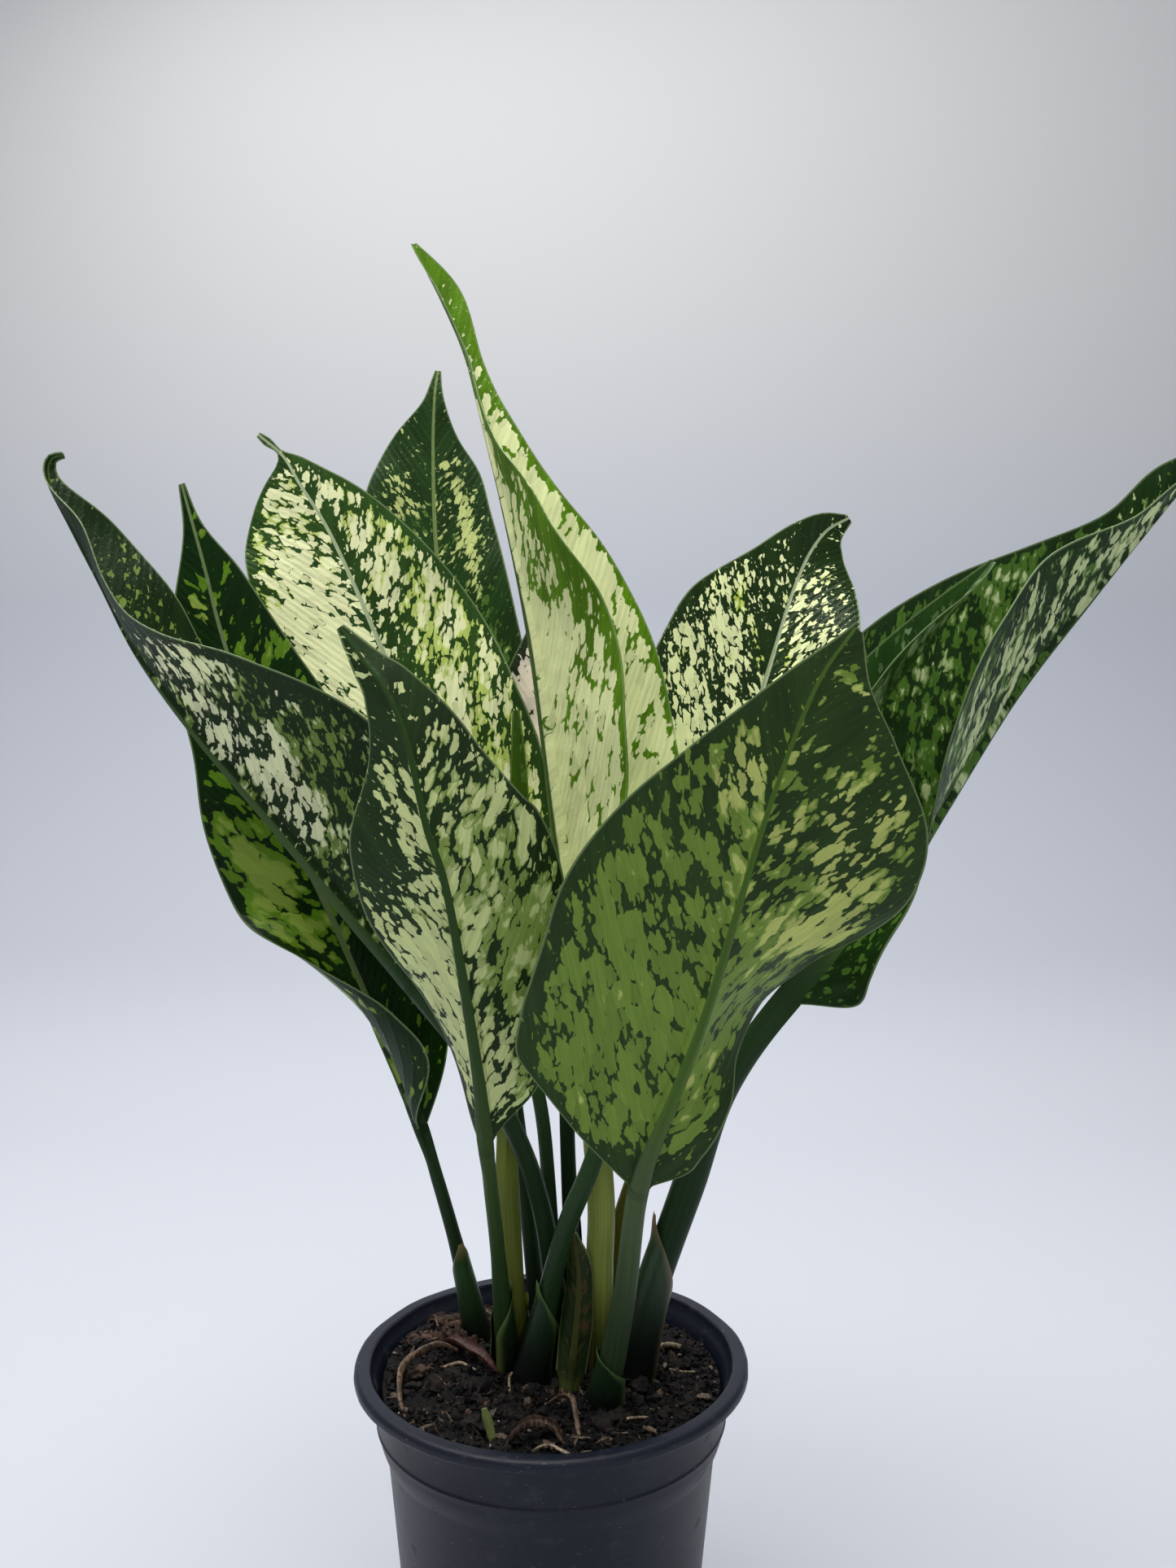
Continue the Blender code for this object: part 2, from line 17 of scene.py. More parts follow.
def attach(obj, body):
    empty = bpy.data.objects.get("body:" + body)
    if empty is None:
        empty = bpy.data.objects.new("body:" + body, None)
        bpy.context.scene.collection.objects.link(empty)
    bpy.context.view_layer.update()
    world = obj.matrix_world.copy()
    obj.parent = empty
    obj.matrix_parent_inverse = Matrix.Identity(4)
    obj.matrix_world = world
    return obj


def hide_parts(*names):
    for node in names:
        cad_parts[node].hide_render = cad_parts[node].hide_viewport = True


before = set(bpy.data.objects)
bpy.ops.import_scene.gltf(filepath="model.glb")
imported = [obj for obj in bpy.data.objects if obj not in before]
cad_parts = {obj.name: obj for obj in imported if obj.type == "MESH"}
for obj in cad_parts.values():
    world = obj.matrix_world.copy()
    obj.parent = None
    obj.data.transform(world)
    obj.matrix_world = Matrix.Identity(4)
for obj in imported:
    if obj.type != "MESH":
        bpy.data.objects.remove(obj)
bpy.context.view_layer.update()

MM = 0.001
UP = Vector((0, 0, 1))
FRONT = Vector((0, -1, 0))

# Camera: the photograph's height in pixels is 36 mm of sensor
PHOTO_HEIGHT = 1927
FOCAL_PIXELS = 1450
SENSOR = 36
CAMERA_PLACE = (0.0111, -0.364, 0.280)
CAMERA_NEAREST = 0.01

# Curves, and the angle from which an edge is sharp
LINE_STEPS = 14
TANGENT_REACH = 0.001
SHARP_ANGLE = 50

# Leaf blades: their thickness, and the steps of their grids
BLADE_THICKNESS = 0.0007
MARGIN_THICKNESS = 0.00035
MARGIN_REACH = 0.003
LEAST_HALF_WIDTH = 0.0004
RIB_STEPS = 4
HALF_STEPS = 20
HALF_STEP_SPREAD = 0.9
BLADE_STEP = 0.0016
BLADE_STEP_GROWTH = 1.2
BLADE_END = 0.997

# Midribs: the width and height are shares of the stalk's radius at the blade
RIB_WIDTH = 0.75
RIB_HEIGHT = 1.0
RIB_TAPER = 1.2
RIB_MOST_SHARE = 0.45
GROOVE_DEPTH = 0.0003

# Stalks. Their skins carry places off the rib and the margin, and shares from -1.05 at the soil to -0.05
STALK_STEP = 0.0030
STALK_DEPTH = 0.012
STALK_ROOT_LENGTH = 0.004
JOINT_START = 0.8
STALK_OFF_RIB = 3.0
STALK_OFF_MARGIN = 0.01
STALK_FIRST_SHARE = -1.05

# Side veins leave the midrib at a slope and sweep up to the margin
VEIN_RISE = 1.5
VEIN_SWEEP = 8.0
VEIN_SLANT = math.hypot(1, VEIN_RISE)
VEIN_GAP = 0.0085
PUFF_HEIGHT = 0.00022
PUFF_FULL_WIDTH = 0.02
RIPPLE_HEIGHT = 0.0012
RIPPLE_LENGTH = 0.021

# Pot, in the part's own sizes
POT_HEIGHT = 0.105
RIM_RADIUS = 0.060
MOUTH_RADIUS = 0.055
COLLAR_TOP_RADIUS = 0.0542
COLLAR_FOOT_RADIUS = 0.0530
COLLAR_DEPTH = 0.0165
SHOULDER_RADIUS = 0.0498
SHOULDER_DEPTH = 0.026
BASE_RADIUS = 0.0415
BASE_ROUNDING = 0.0020
WALL = 0.0012
BASE_THICKNESS = 0.0020
LIP_DEPTH = 0.0035
DRAIN_COUNT = 6
DRAIN_RADIUS = 0.0045
DRAIN_CIRCLE = 0.027

# The pot's finer forms: beads, the step under its collar, the hollow of its shoulder and the lip's waves
POT_SIDES = 180
DRAIN_SIDES = 24
WALL_HEIGHTS = (0.03, 0.055)
LIP_BEAD = 0.0011
LIP_ROLL = 1.6 * LIP_BEAD
COLLAR_BEAD = 0.0006
COLLAR_STEP = 0.0004
COLLAR_STEP_DEPTH = 0.0012
COLLAR_EASE = 0.0008
LIP_STEP = 0.0004
LIP_STEP_DEPTH = 0.0001
MOUTH_EASE = 0.0008
MOUTH_EASE_START = 0.0006
MOUTH_EASE_END = 0.0015
SHOULDER_HOLLOW = 1.6
SHOULDER_STEPS = 6
LIP_WAVES = 3
LIP_WAVE = 0.0003
LIP_RISE = 0.00022
LIP_RISE_START = 0.1
LIP_RISE_REACH = 0.002
LIP_DENTS = 19
LIP_DENT = 0.00012
LIP_DENT_FINENESS = 200
WAVED_FROM = 0.051

# Soil
SOIL_TOP = 0.0955
SOIL_MOUND = 0.0015
SOIL_GAP = 0.0004
SOIL_RADIUS = 0.0518
SOIL_FILL = 0.0024
HEAP = Vector((-0.036, 0.014, 0))
HEAP_HEIGHT = 0.0046
HEAP_REACH = 0.019
SOIL_RINGS = 90
SOIL_SIDES = 260
SOIL_EDGE = 0.0005

# Rows of height, fineness and shift: lumps that die out at the pot's wall, and crumbs that don't
SOIL_LUMPS = ((0.0020, 70, 0), (0.0018, 170, 1))
SOIL_CRUMBS = ((0.0010, 420, 3), (0.0006, 1100, 5))

# Loose crumbs: their shapes, how much likelier small ones are, and spreads and gaps in shares of the size
CRUMB_SHAPES = 9
CRUMB_LUMP_FINENESS = 1.3
CRUMB_GRAIN_FINENESS = 3.7
CRUMB_GRAIN_SHARE = 0.5
CRUMB_SMALLNESS = 2.5
CRUMB_BREADTH_SPREAD = 1.6
CRUMB_HEIGHT_SPREAD = 2
CRUMB_CLEARANCE = 0.3
CRUMB_SINK = -0.1
CRUMB_RISE = 0.45

# Sheaths: their foot is at one share of every stalk, and they narrow, lean and end in a point
SHEATH_START = 0.04
SHEATH_STANDOFF = 0.0005
SHEATH_THICKNESS = 0.0005
SHEATH_ACROSS_STEPS = 24
SHEATH_UP_STEPS = 44
SHEATH_NARROW_START = 0.45
SHEATH_NARROW_REACH = 0.66
SHEATH_TIP_HALF = 0.3
SHEATH_TIP_LOSS = 0.7
SHEATH_TIP_BLUNTNESS = 8
SHEATH_LEAN_START = 0.8
SHEATH_LEAN_REACH = 0.2
SHEATH_FOOT_FLARE = 0.3
SHEATH_EDGE_FLARE = 0.1

# Dried strips and sticks
STRIP_THICKNESS = 0.00035
STRIP_TANGENT_REACH = 0.05
STRIP_CRINKLE = 0.0003
STRIP_LEAST_CURL = 0.6
STRIP_ACROSS_STEPS = 10
STICK_TANGENT_REACH = 0.1
STICK_LUMPS = 0.25
STICK_SIDES = 10
STICK_STEPS = 16

# Stage: a floor that sweeps up into a wall
FLOOR_FRONT = -2.2
WALL_BACK = 1.05
SWEEP_RADIUS = 0.5
SWEEP_STEPS = 16
WALL_TOP = 2.6
STAGE_HALF_WIDTH = 2.4
# The sweep's tones for floor, low wall and high wall; their changes are painted shading, darkest where the
# floor curves up
STAGE_SHADING_TONES = ((184, 187, 196), (172, 176, 186), (178, 179, 181))

# Light of the room, besides the lamps
ROOM_TONE = (0.92, 0.95, 1.0, 1)
ROOM_STRENGTH = 0.33


class Leaf(NamedTuple):
    """One leaf. Each row of halves holds the share of the midrib, then the left half's width, fold and curl,
    then the right half's. A fold is how far the half turns out of the plane seen from the front: above 0 it
    comes forward, and the curl adds to it from the midrib out to the margin. The radii are the stalk's, at
    the soil, half way up and at the blade. Waves are the count, the phase and the height of the margin's
    waves."""

    name: str
    stalk: tuple
    rib: tuple
    halves: tuple
    radii: tuple
    waves: tuple = (2, 0.0, 1.0)
    upper_in_front: bool = True


LEAVES = (
    Leaf(
        "leaf_front_right",
        ((15, -18, 96), (21, -32, 134), (25, -44, 171)),
        ((33, -52, 197), (42, -59, 224), (55, -68, 270), (67, -72, 303), (77.5, -72, 319)),
        (
            (0, 3, 5, 0, 3, -10, 0),
            (0.03, 10, 5, 0, 11, -10, 0),
            (0.08, 23, 5, 0, 15, -12, 0),
            (0.17, 42, 5, 0, 19, -24, 0),
            (0.24, 45, 6, 0, 22, -46, 0),
            (0.32, 46, 9, 0, 31, -56, 0),
            (0.4, 46, 10, 0, 37, -44, 0),
            (0.5, 45, 10, 0, 42, -24, 0),
            (0.62, 37, 8, 0, 44, -10, 0),
            (0.74, 24, 5, 0, 39, 0, 0),
            (0.84, 13, 0, 0, 26, 0, 0),
            (0.94, 4, 0, 0, 11, 0, 0),
            (1, 1, 0, 0, 2, 0, 0),
        ),
        (4.2, 3.3, 2.8),
        (3, 0.2, 1.0),
        False,
    ),
    Leaf(
        "leaf_front_left",
        ((-14, 3, 96), (-15.5, -16, 142), (-17.5, -34, 179)),
        (
            (-19, -44, 205.5), (-25, -59, 251), (-30, -63, 269), (-35, -64, 291), (-40.5, -63, 304),
            (-46, -61, 311), (-53.4, -58, 321),
        ),
        (
            (0, 2.5, -40, 0, 2.5, -40, 0),
            (0.08, 8, -50, 0, 13, -15, 0),
            (0.25, 19, -45, 0, 24, -15, 0),
            (0.5, 27, -25, 0, 31, -15, 0),
            (0.6, 26, -25, 0, 28, -15, 0),
            (0.76, 14, -30, 0, 16, -20, 0),
            (0.9, 5, -20, 0, 6, -20, 0),
            (1, 1, 0, 0, 1, 0, 0),
        ),
        (3.6, 2.2, 2.0),
        (2, 0.5, 1.0),
        False,
    ),
    Leaf(
        "leaf_far_left",
        ((4, 4, 96), (-2, -6, 147), (-11, -17, 179), (-25, -20, 202), (-40.5, -21, 222)),
        (
            (-56, -24, 241), (-77, -27, 267), (-100, -28, 294), (-117, -27, 316.5), (-128, -25, 336),
            (-138, -22, 353), (-146.5, -19, 368), (-147, -17, 375.5), (-142.5, -17, 377),
        ),
        (
            (0, 3, 140, 0, 3, -40, 0),
            (0.1, 30, 155, 0, 22, -42, 0),
            (0.3, 43, 163, 0, 40, -46, 0),
            (0.42, 38, 158, 0, 38, -50, 0),
            (0.52, 30, 145, 0, 33, -62, 0),
            (0.6, 23, 125, 0, 27, -64, 0),
            (0.72, 14, 108, 0, 22, -53, 0),
            (0.84, 9, 125, 0, 14, -45, 0),
            (0.93, 3, 100, 0, 4, -30, 0),
            (1, 1, 60, 0, 1, -30, 0),
        ),
        (3.4, 2.8, 2.6),
        (2, 0.0, 0.5),
    ),
    Leaf(
        "leaf_left",
        ((-23, 17, 96), (-31, 13, 133), (-42, 9, 172)),
        (
            (-56, 8, 206), (-71, 9, 240), (-86.5, 10, 273), (-105.5, 16, 324), (-114, 20, 352),
            (-123, 25, 379.5),
        ),
        (
            (0, 2.5, 60, 60, 2.5, -10, 0),
            (0.08, 20, 100, 60, 17, -20, 0),
            (0.17, 22, 75, 90, 24, -20, 0),
            (0.27, 23, 30, 80, 30, -20, 0),
            (0.38, 25, 15, 20, 32, -15, 0),
            (0.5, 24, 15, 0, 30, -5, 0),
            (0.6, 20, 10, 0, 27, 0, 0),
            (0.7, 19, 5, 0, 21, 0, 0),
            (0.84, 11, 0, 0, 11.5, 0, 0),
            (0.93, 3.5, 0, 0, 3, 0, 0),
            (1, 1, 0, 0, 1, 0, 0),
        ),
        (3.6, 2.2, 1.9),
        (4, 0.3, 1.2),
    ),
    Leaf(
        "leaf_back_left",
        ((1, 14, 96), (-2, 8, 163), (-6.5, 13, 190), (-12.5, 20, 220)),
        ((-33, 30, 267), (-56, 41, 318), (-78, 51, 365), (-91.5, 55, 387), (-97.7, 57, 397), (-107, 57, 405)),
        (
            (0, 2.5, 0, 0, 2.5, 0, 0),
            (0.08, 18, 5, 0, 18, 10, 0),
            (0.25, 34, 5, 0, 35, 10, 0),
            (0.42, 38, 5, 0, 38, 10, 0),
            (0.6, 34, 5, 0, 34, 5, 0),
            (0.76, 33, 5, 0, 23, 5, 0),
            (0.86, 25, 0, 0, 13, 0, 0),
            (0.92, 9, 0, 0, 6, 0, 0),
            (0.948, 1.3, 0, 0, 1.3, 0, 0),
            (0.98, 1.6, 0, 0, 1.6, 0, 0),
            (1, 0.8, 0, 0, 0.8, 0, 0),
        ),
        (3.2, 2.2, 2.2),
        (3, 0.0, 1.0),
    ),
    Leaf(
        "leaf_back",
        ((-4, 21, 96), (-10, 26, 150), (-17, 33, 200), (-25.5, 41, 247.5)),
        ((-36, 56, 298), (-44.5, 71, 363), (-47, 79, 401), (-47, 83, 426), (-46, 86, 438)),
        (
            (0, 2.5, 0, 0, 2.5, 0, 0),
            (0.1, 16, 10, 0, 16, 10, 0),
            (0.3, 29, 10, 0, 28, 10, 0),
            (0.5, 31, 10, 0, 27, 10, 0),
            (0.7, 27, 5, 0, 21, 5, 0),
            (0.78, 23, 5, 0, 17.5, 5, 0),
            (0.86, 15, 0, 0, 9, 0, 0),
            (0.93, 4.5, 0, 0, 4, 0, 0),
            (1, 1, 0, 0, 1, 0, 0),
        ),
        (3.0, 2.4, 2.4),
        (3, 0.4, 0.8),
    ),
    Leaf(
        "leaf_centre_back",
        ((8, 12, 96), (4.5, 10, 171), (5, 21, 222.5)),
        ((5, 32, 256.5), (3.5, 44, 298), (1, 54, 333), (-1, 60, 360)),
        (
            (0, 2.5, 0, 0, 2.5, 0, 0),
            (0.2, 20, 5, 0, 20, 5, 0),
            (0.45, 29, 5, 0, 29, 5, 0),
            (0.7, 20, 5, 0, 20, 5, 0),
            (0.9, 6, 0, 0, 6, 0, 0),
            (1, 1, 0, 0, 1, 0, 0),
        ),
        (3.0, 2.4, 2.4),
    ),
    Leaf(
        "leaf_back_right",
        ((-7, -4, 96), (3, -12, 142.5), (11.5, -17, 166), (15.5, -17, 177)),
        (
            (27.5, -9, 200), (46.5, 13, 245), (70, 34, 312), (83.5, 46, 350), (93.5, 51, 367.5),
            (104, 54, 374.5),
        ),
        (
            (0, 2.5, 0, 0, 2.5, 0, 0),
            (0.2, 18, 0, 0, 18, 5, 0),
            (0.45, 34, 0, 0, 34, 10, 0),
            (0.7, 38, 5, 0, 30, 15, 0),
            (0.78, 34, 5, 0, 27, 20, 0),
            (0.88, 17.5, 0, 0, 19, 10, 0),
            (0.95, 8, 0, 0, 8, 0, 0),
            (1, 1, 0, 0, 1.5, 0, 0),
        ),
        (4.2, 3.0, 2.9),
        (3, 0.1, 1.0),
    ),
    Leaf(
        "leaf_tall",
        ((14, 4, 96), (14.7, -2, 133.5), (14.7, -6, 160), (8.5, -6, 224)),
        (
            (4, -4, 256), (-1, 0, 294), (-6.5, 5, 329), (-14.7, 12, 366), (-23.7, 20, 402),
            (-29.3, 25, 422), (-37.5, 29, 441), (-48, 33, 462),
        ),
        (
            (0, 4, 100, 0, 4, -10, 0),
            (0.12, 28, 120, 0, 34, -10, 0),
            (0.28, 40, 125, 0, 40, -10, 0),
            (0.42, 36, 128, 0, 36, -10, 0),
            (0.52, 28, 115, 0, 28, -10, 0),
            (0.6, 20, 110, 0, 18.5, -10, 0),
            (0.68, 11, 95, 0, 11.5, -10, 0),
            (0.8, 5, 90, 0, 5, -10, 0),
            (0.92, 4, 90, 0, 7, -10, 0),
            (1, 1, 60, 0, 1, 0, 0),
        ),
        (4.2, 4.2, 3.8),
        (2, 0.0, 0.5),
    ),
    Leaf(
        "leaf_far_right",
        ((24, -2, 96), (30, -6, 125), (41.5, -11, 161), (51.5, -15, 190.5), (70.5, -18, 218)),
        (
            (95, -23, 245.5), (111, -26, 271.5), (133, -27, 305.5), (157, -25, 335), (182, -21, 364),
            (195.5, -18, 379),
        ),
        (
            (0, 4, -20, 0, 4, 20, 0),
            (0.05, 15, -20, 0, 15, 20, 0),
            (0.1, 26, -20, 0, 17, 55, 0),
            (0.25, 44, -20, 0, 22, 93, 0),
            (0.35, 47, -18, 0, 31, 110, 0),
            (0.45, 48, -15, 0, 38, 120, 0),
            (0.6, 36, -10, 0, 33, 132, 0),
            (0.7, 24, -5, 0, 24, 136, 0),
            (0.8, 13, 0, 0, 14, 125, 0),
            (0.92, 9, 0, 0, 7, 110, 0),
            (1, 1, 0, 0, 1, 60, 0),
        ),
        (4.6, 4.9, 3.6),
        (3, 0.0, 1.0),
    ),
    Leaf(
        "leaf_young_right",
        ((17, 14, 96), (19.4, 7, 134), (26, -5, 163), (35.5, -19, 193), (53.5, -27, 240.5)),
        ((75, -31, 275), (96.5, -36, 308), (123, -39, 341.5)),
        (
            (0, 2.5, -20, 0, 2.5, 90, 0),
            (0.3, 12, -20, 0, 12, 110, 0),
            (0.6, 12, -20, 0, 12, 120, 0),
            (0.85, 6, -10, 0, 6, 110, 0),
            (1, 1, 0, 0, 1, 60, 0),
        ),
        (3.0, 2.2, 2.0),
        (2, 0.0, 0.3),
    ),
    Leaf(
        "leaf_new_left",
        ((-10.5, 12, 96), (-12, 0, 123), (-13.2, -5, 152.5), (-13.5, -7, 174.5)),
        ((-12, -12, 235), (-9.4, -16, 276), (-10, -18, 302)),
        (
            (0, 4, -40, 0, 4, -40, 0),
            (0.3, 4.5, -40, 0, 4.5, -40, 0),
            (0.75, 4, -40, 0, 4, -40, 0),
            (0.92, 2, -20, 0, 2, -20, 0),
            (1, 1, 0, 0, 1, 0, 0),
        ),
        (3.3, 3.7, 3.6),
        (2, 0.0, 0.0),
    ),
    Leaf(
        "sheath_old",
        ((5, -12.5, 96), (6, -12, 104)),
        ((8, -10.5, 122), (8.2, -9.5, 134), (6.6, -8.5, 145)),
        (
            (0, 5, -10, -30, 5, -10, -30),
            (0.4, 6, -10, -60, 6, -10, -60),
            (0.75, 4, -10, -40, 4.5, -10, -40),
            (1, 1, 0, 0, 1, 0, 0),
        ),
        (3.0, 3.0, 1.0),
        (2, 0.0, 0.0),
        False,
    ),
    Leaf(
        "shoot_pale",
        ((-14.9, -38, 96), (-15.5, -38, 99.5)),
        ((-16.3, -38, 103), (-17.6, -38, 107.5)),
        (
            (0, 1.2, 0, -60, 1.2, 0, -60),
            (0.5, 1.3, 0, -60, 1.3, 0, -60),
            (1, 0.8, 0, 0, 0.8, 0, 0),
        ),
        (1.2, 1.0, 0.5),
        (2, 0.0, 0.0),
        False,
    ),
)
BY_NAME = {leaf.name: leaf for leaf in LEAVES}


class Splash(NamedTuple):
    """A place on the blade where the marking changes: the share of the midrib, the share of the half's width
    (left is below 0), how far it reaches each way, and what it adds to the pale and to the light share."""

    along: float
    across: float
    reach_along: float
    reach_across: float
    pale: float
    light: float = 0.0


class Look(NamedTuple):
    """A leaf's looks. Tones are as seen, 0 to 255: the dark ground's, the pale blotches' (middle and light),
    the midrib's, and the stalk's at its foot, middle and top, where a foot darker than the middle is painted
    shade near the soil. Pale and light_share say how much of the leaf they cover, border how far in
    from the margin they start in millimetres, glow how much light comes through, and cell how large
    the blotches are."""

    slot: str
    dark: tuple
    middle: tuple
    light: tuple
    pale: float
    light_share: float
    border: float
    rib: tuple
    stalk: tuple
    splashes: tuple = ()
    seed: float = 0.0
    roughness: float = 0.36
    glow: float = 0.25
    cell: float = 1.0


# Stalk tones at the foot, middle and top; the darker foot is painted shade near the soil
DARK_STALK = ((14, 26, 18), (34, 58, 32), (46, 72, 40))
PALE_STALK = ((60, 66, 26), (146, 158, 76), (120, 140, 62))

LOOKS = {
    "leaf_front_right": Look(
        "leaf_lime", (42, 66, 24), (126, 156, 62), (200, 210, 118), 0.6, -0.06, 6, (84, 116, 44),
        ((18, 30, 20), (54, 72, 46), (82, 100, 64)),
        (
            Splash(0.9, 0.0, 0.13, 3.0, -0.42, 0.4),
            Splash(0.62, 0.1, 0.14, 0.5, -0.3, 0.2),
            Splash(0.5, 0.75, 0.06, 0.22, 0.3, 0.7),
            Splash(0.49, 0.4, 0.04, 0.2, 0.3, 0.35),
            Splash(0.68, 0.55, 0.12, 0.3, -0.15, 0.8),
            Splash(0.74, -0.35, 0.08, 0.3, -0.15, 0.6),
            Splash(0.2, 0.6, 0.15, 0.4, 0.0, -0.1),
            Splash(0.22, 0.4, 0.12, 0.4, 0.1, 0.0),
            Splash(0.03, 0.0, 0.06, 3.0, -0.4),
            Splash(0.3, -0.5, 0.25, 0.5, 0.14, -0.5),
            Splash(0.06, 0.8, 0.12, 0.5, -0.3, 0.0),
        ),
        3.1, 0.42, 0.16, 1.2,
    ),
    "leaf_front_left": Look(
        "leaf_cream", (34, 56, 22), (156, 180, 92), (224, 234, 164), 0.58, 0.48, 2.5, (52, 80, 34),
        ((20, 34, 22), (50, 74, 38), (64, 88, 44)),
        (
            Splash(0.9, 0.0, 0.16, 3.0, -0.5, 0.2),
            Splash(0.62, -0.7, 0.16, 0.5, -0.42, 0.2),
            Splash(0.28, -0.5, 0.2, 0.5, 0.15, 0.3),
            Splash(0.4, 0.5, 0.18, 0.5, 0.12, -0.45),
            Splash(0.02, 0.0, 0.05, 3.0, -0.5),
        ),
        7.7, 0.42, 0.16,
    ),
    "leaf_far_left": Look(
        "leaf_pinkish", (28, 50, 18), (128, 152, 70), (240, 244, 200), 0.2, 0.34, 5.5, (92, 124, 62),
        DARK_STALK,
        (
            Splash(0.46, -0.25, 0.1, 0.22, 0.34, 0.5),
            Splash(0.3, -0.2, 0.1, 0.22, 0.3, 0.4),
            Splash(0.6, -0.5, 0.1, 0.3, 0.1, 0.4),
            Splash(0.3, -0.6, 0.12, 0.22, 0.2, -0.5),
            Splash(0.55, 0.6, 0.5, 0.6, -0.05, -0.7),
            Splash(0.86, -0.5, 0.14, 0.8, -0.4, -0.3),
        ),
        1.9, 0.36, 0.2, 0.85,
    ),
    "leaf_left": Look(
        "leaf_dark", (18, 48, 10), (104, 146, 34), (152, 176, 74), 0.32, 0.15, 3.5, (124, 144, 92),
        DARK_STALK,
        (
            Splash(0.38, -0.45, 0.12, 0.35, 0.42, 0.2),
            Splash(0.13, -0.7, 0.1, 0.6, -0.35, 0.4),
            Splash(0.72, -0.3, 0.12, 0.4, 0.15, 0.4),
            Splash(0.9, 0.0, 0.12, 3.0, -0.3),
        ),
        5.2, 0.36, 0.25, 1.7,
    ),
    "leaf_back_left": Look(
        "leaf_cream", (48, 78, 30), (202, 222, 116), (252, 255, 200), 0.58, 0.38, 4.5, (186, 200, 158),
        DARK_STALK,
        (
            Splash(0.6, -0.45, 0.16, 0.45, 0.25, 0.45),
            Splash(0.52, 0.12, 0.1, 0.16, -0.5, 0.0),
            Splash(0.74, 0.08, 0.12, 0.14, -0.3, 0.2),
            Splash(0.95, 0.0, 0.08, 3.0, -0.35, 0.3),
            Splash(0.3, 0.5, 0.2, 0.5, 0.12, -0.1),
        ),
        2.4, 0.3, 0.05,
    ),
    "leaf_back": Look(
        "leaf_dark", (42, 72, 30), (92, 130, 56), (218, 228, 150), 0.2, 0.5, 4.5, (140, 162, 96),
        DARK_STALK,
        (
            Splash(0.66, 0.5, 0.12, 0.12, 0.4, 0.4),
            Splash(0.66, -0.5, 0.12, 0.12, 0.3, 0.3),
            Splash(0.4, 0.6, 0.14, 0.3, 0.25, -0.9),
            Splash(0.5, 0.2, 0.2, 0.12, 0.15, 0.0),
            Splash(0.92, 0.0, 0.1, 3.0, -0.25),
        ),
        8.6, 0.36, 0.25, 0.8,
    ),
    "leaf_centre_back": Look(
        "leaf_pinkish", (44, 60, 36), (226, 224, 196), (255, 246, 234), 0.62, 0.8, 4, (92, 112, 84),
        DARK_STALK, (Splash(0.6, 0.2, 0.2, 0.5, 0.15, 0.2),), 4.3, 0.38, 0.5,
    ),
    "leaf_back_right": Look(
        "leaf_cream", (32, 54, 20), (190, 210, 80), (248, 255, 192), 0.37, 0.66, 4, (176, 190, 150),
        DARK_STALK,
        (
            Splash(0.5, -0.6, 0.14, 0.35, 0.28, 0.25),
            Splash(0.72, -0.1, 0.16, 0.16, -0.25, 0.0),
            Splash(0.93, 0.0, 0.08, 3.0, -0.35),
        ),
        6.1, 0.28, 0.05, 0.8,
    ),
    "leaf_tall": Look(
        "leaf_bright", (92, 136, 10), (208, 226, 122), (250, 255, 194), 0.76, 0.76, 3.5, (104, 144, 44),
        PALE_STALK,
        (
            Splash(0.6, -0.7, 0.14, 0.45, -0.62, 0.0),
            Splash(0.45, -0.85, 0.12, 0.25, -0.5, 0.0),
            Splash(0.94, 0.0, 0.16, 3.0, -0.8, 0.3),
            Splash(0.2, 0.0, 0.25, 0.8, 0.2, 0.25),
            Splash(0.3, -0.2, 0.06, 0.3, -0.25, 0.0),
        ),
        9.9, 0.34, 0.1, 1.3,
    ),
    "leaf_far_right": Look(
        "leaf_lime", (32, 60, 22), (88, 128, 46), (216, 228, 172), 0.43, 0.06, 3, (96, 124, 76),
        DARK_STALK,
        (
            Splash(0.6, 0.4, 0.25, 0.6, 0.1, 0.42),
            Splash(0.85, 0.0, 0.1, 3.0, -0.1, 0.4),
            Splash(0.1, 0.0, 0.1, 3.0, -0.3),
        ),
        3.8, 0.4, 0.2,
    ),
    "leaf_young_right": Look(
        "leaf_pinkish", (44, 82, 24), (96, 126, 74), (150, 170, 130), 0.1, 0.2, 1, (120, 140, 104),
        ((84, 88, 36), (104, 104, 40), (84, 108, 60)), (Splash(0.5, 0.6, 0.6, 0.4, 0.75),), 0.7, 0.38, 0.25,
    ),
    "leaf_new_left": Look(
        "leaf_bright", (80, 116, 26), (104, 140, 54), (130, 156, 70), 0.3, 0.3, 1, (80, 116, 40),
        ((96, 100, 40), (134, 142, 66), (112, 126, 54)), (), 1.3, 0.34, 0.3,
    ),
    "sheath_old": Look(
        "sheath", (40, 56, 24), (62, 70, 30), (96, 66, 42), 0.25, 0.3, 0.1, (80, 82, 40),
        ((118, 112, 46), (64, 72, 30), (48, 60, 26)), (), 2.2, 0.4, 0.2,
    ),
    "shoot_pale": Look(
        "sheath", (150, 160, 96), (170, 176, 116), (190, 192, 140), 0.3, 0.3, 0.1, (150, 160, 96),
        ((160, 160, 104), (156, 164, 100), (150, 162, 96)), (), 2.9, 0.4, 0.3,
    ),
}


def smooth_line(points):
    """A Catmull-Rom curve through the points, as closely spaced positions."""
    p = np.array([2 * points[0] - points[1], *points, 2 * points[-1] - points[-2]])
    t = np.linspace(0, 1, LINE_STEPS, endpoint=False)[:, None]
    spans = []
    for a, b, c, d in zip(p[:-3], p[1:-2], p[2:-1], p[3:]):
        bend = (2 * a - 5 * b + 4 * c - d) * t**2 + (3 * b - a - 3 * c + d) * t**3
        spans.append(b + ((c - a) * t + bend) / 2)
    return np.vstack([*spans, p[-2][None]])


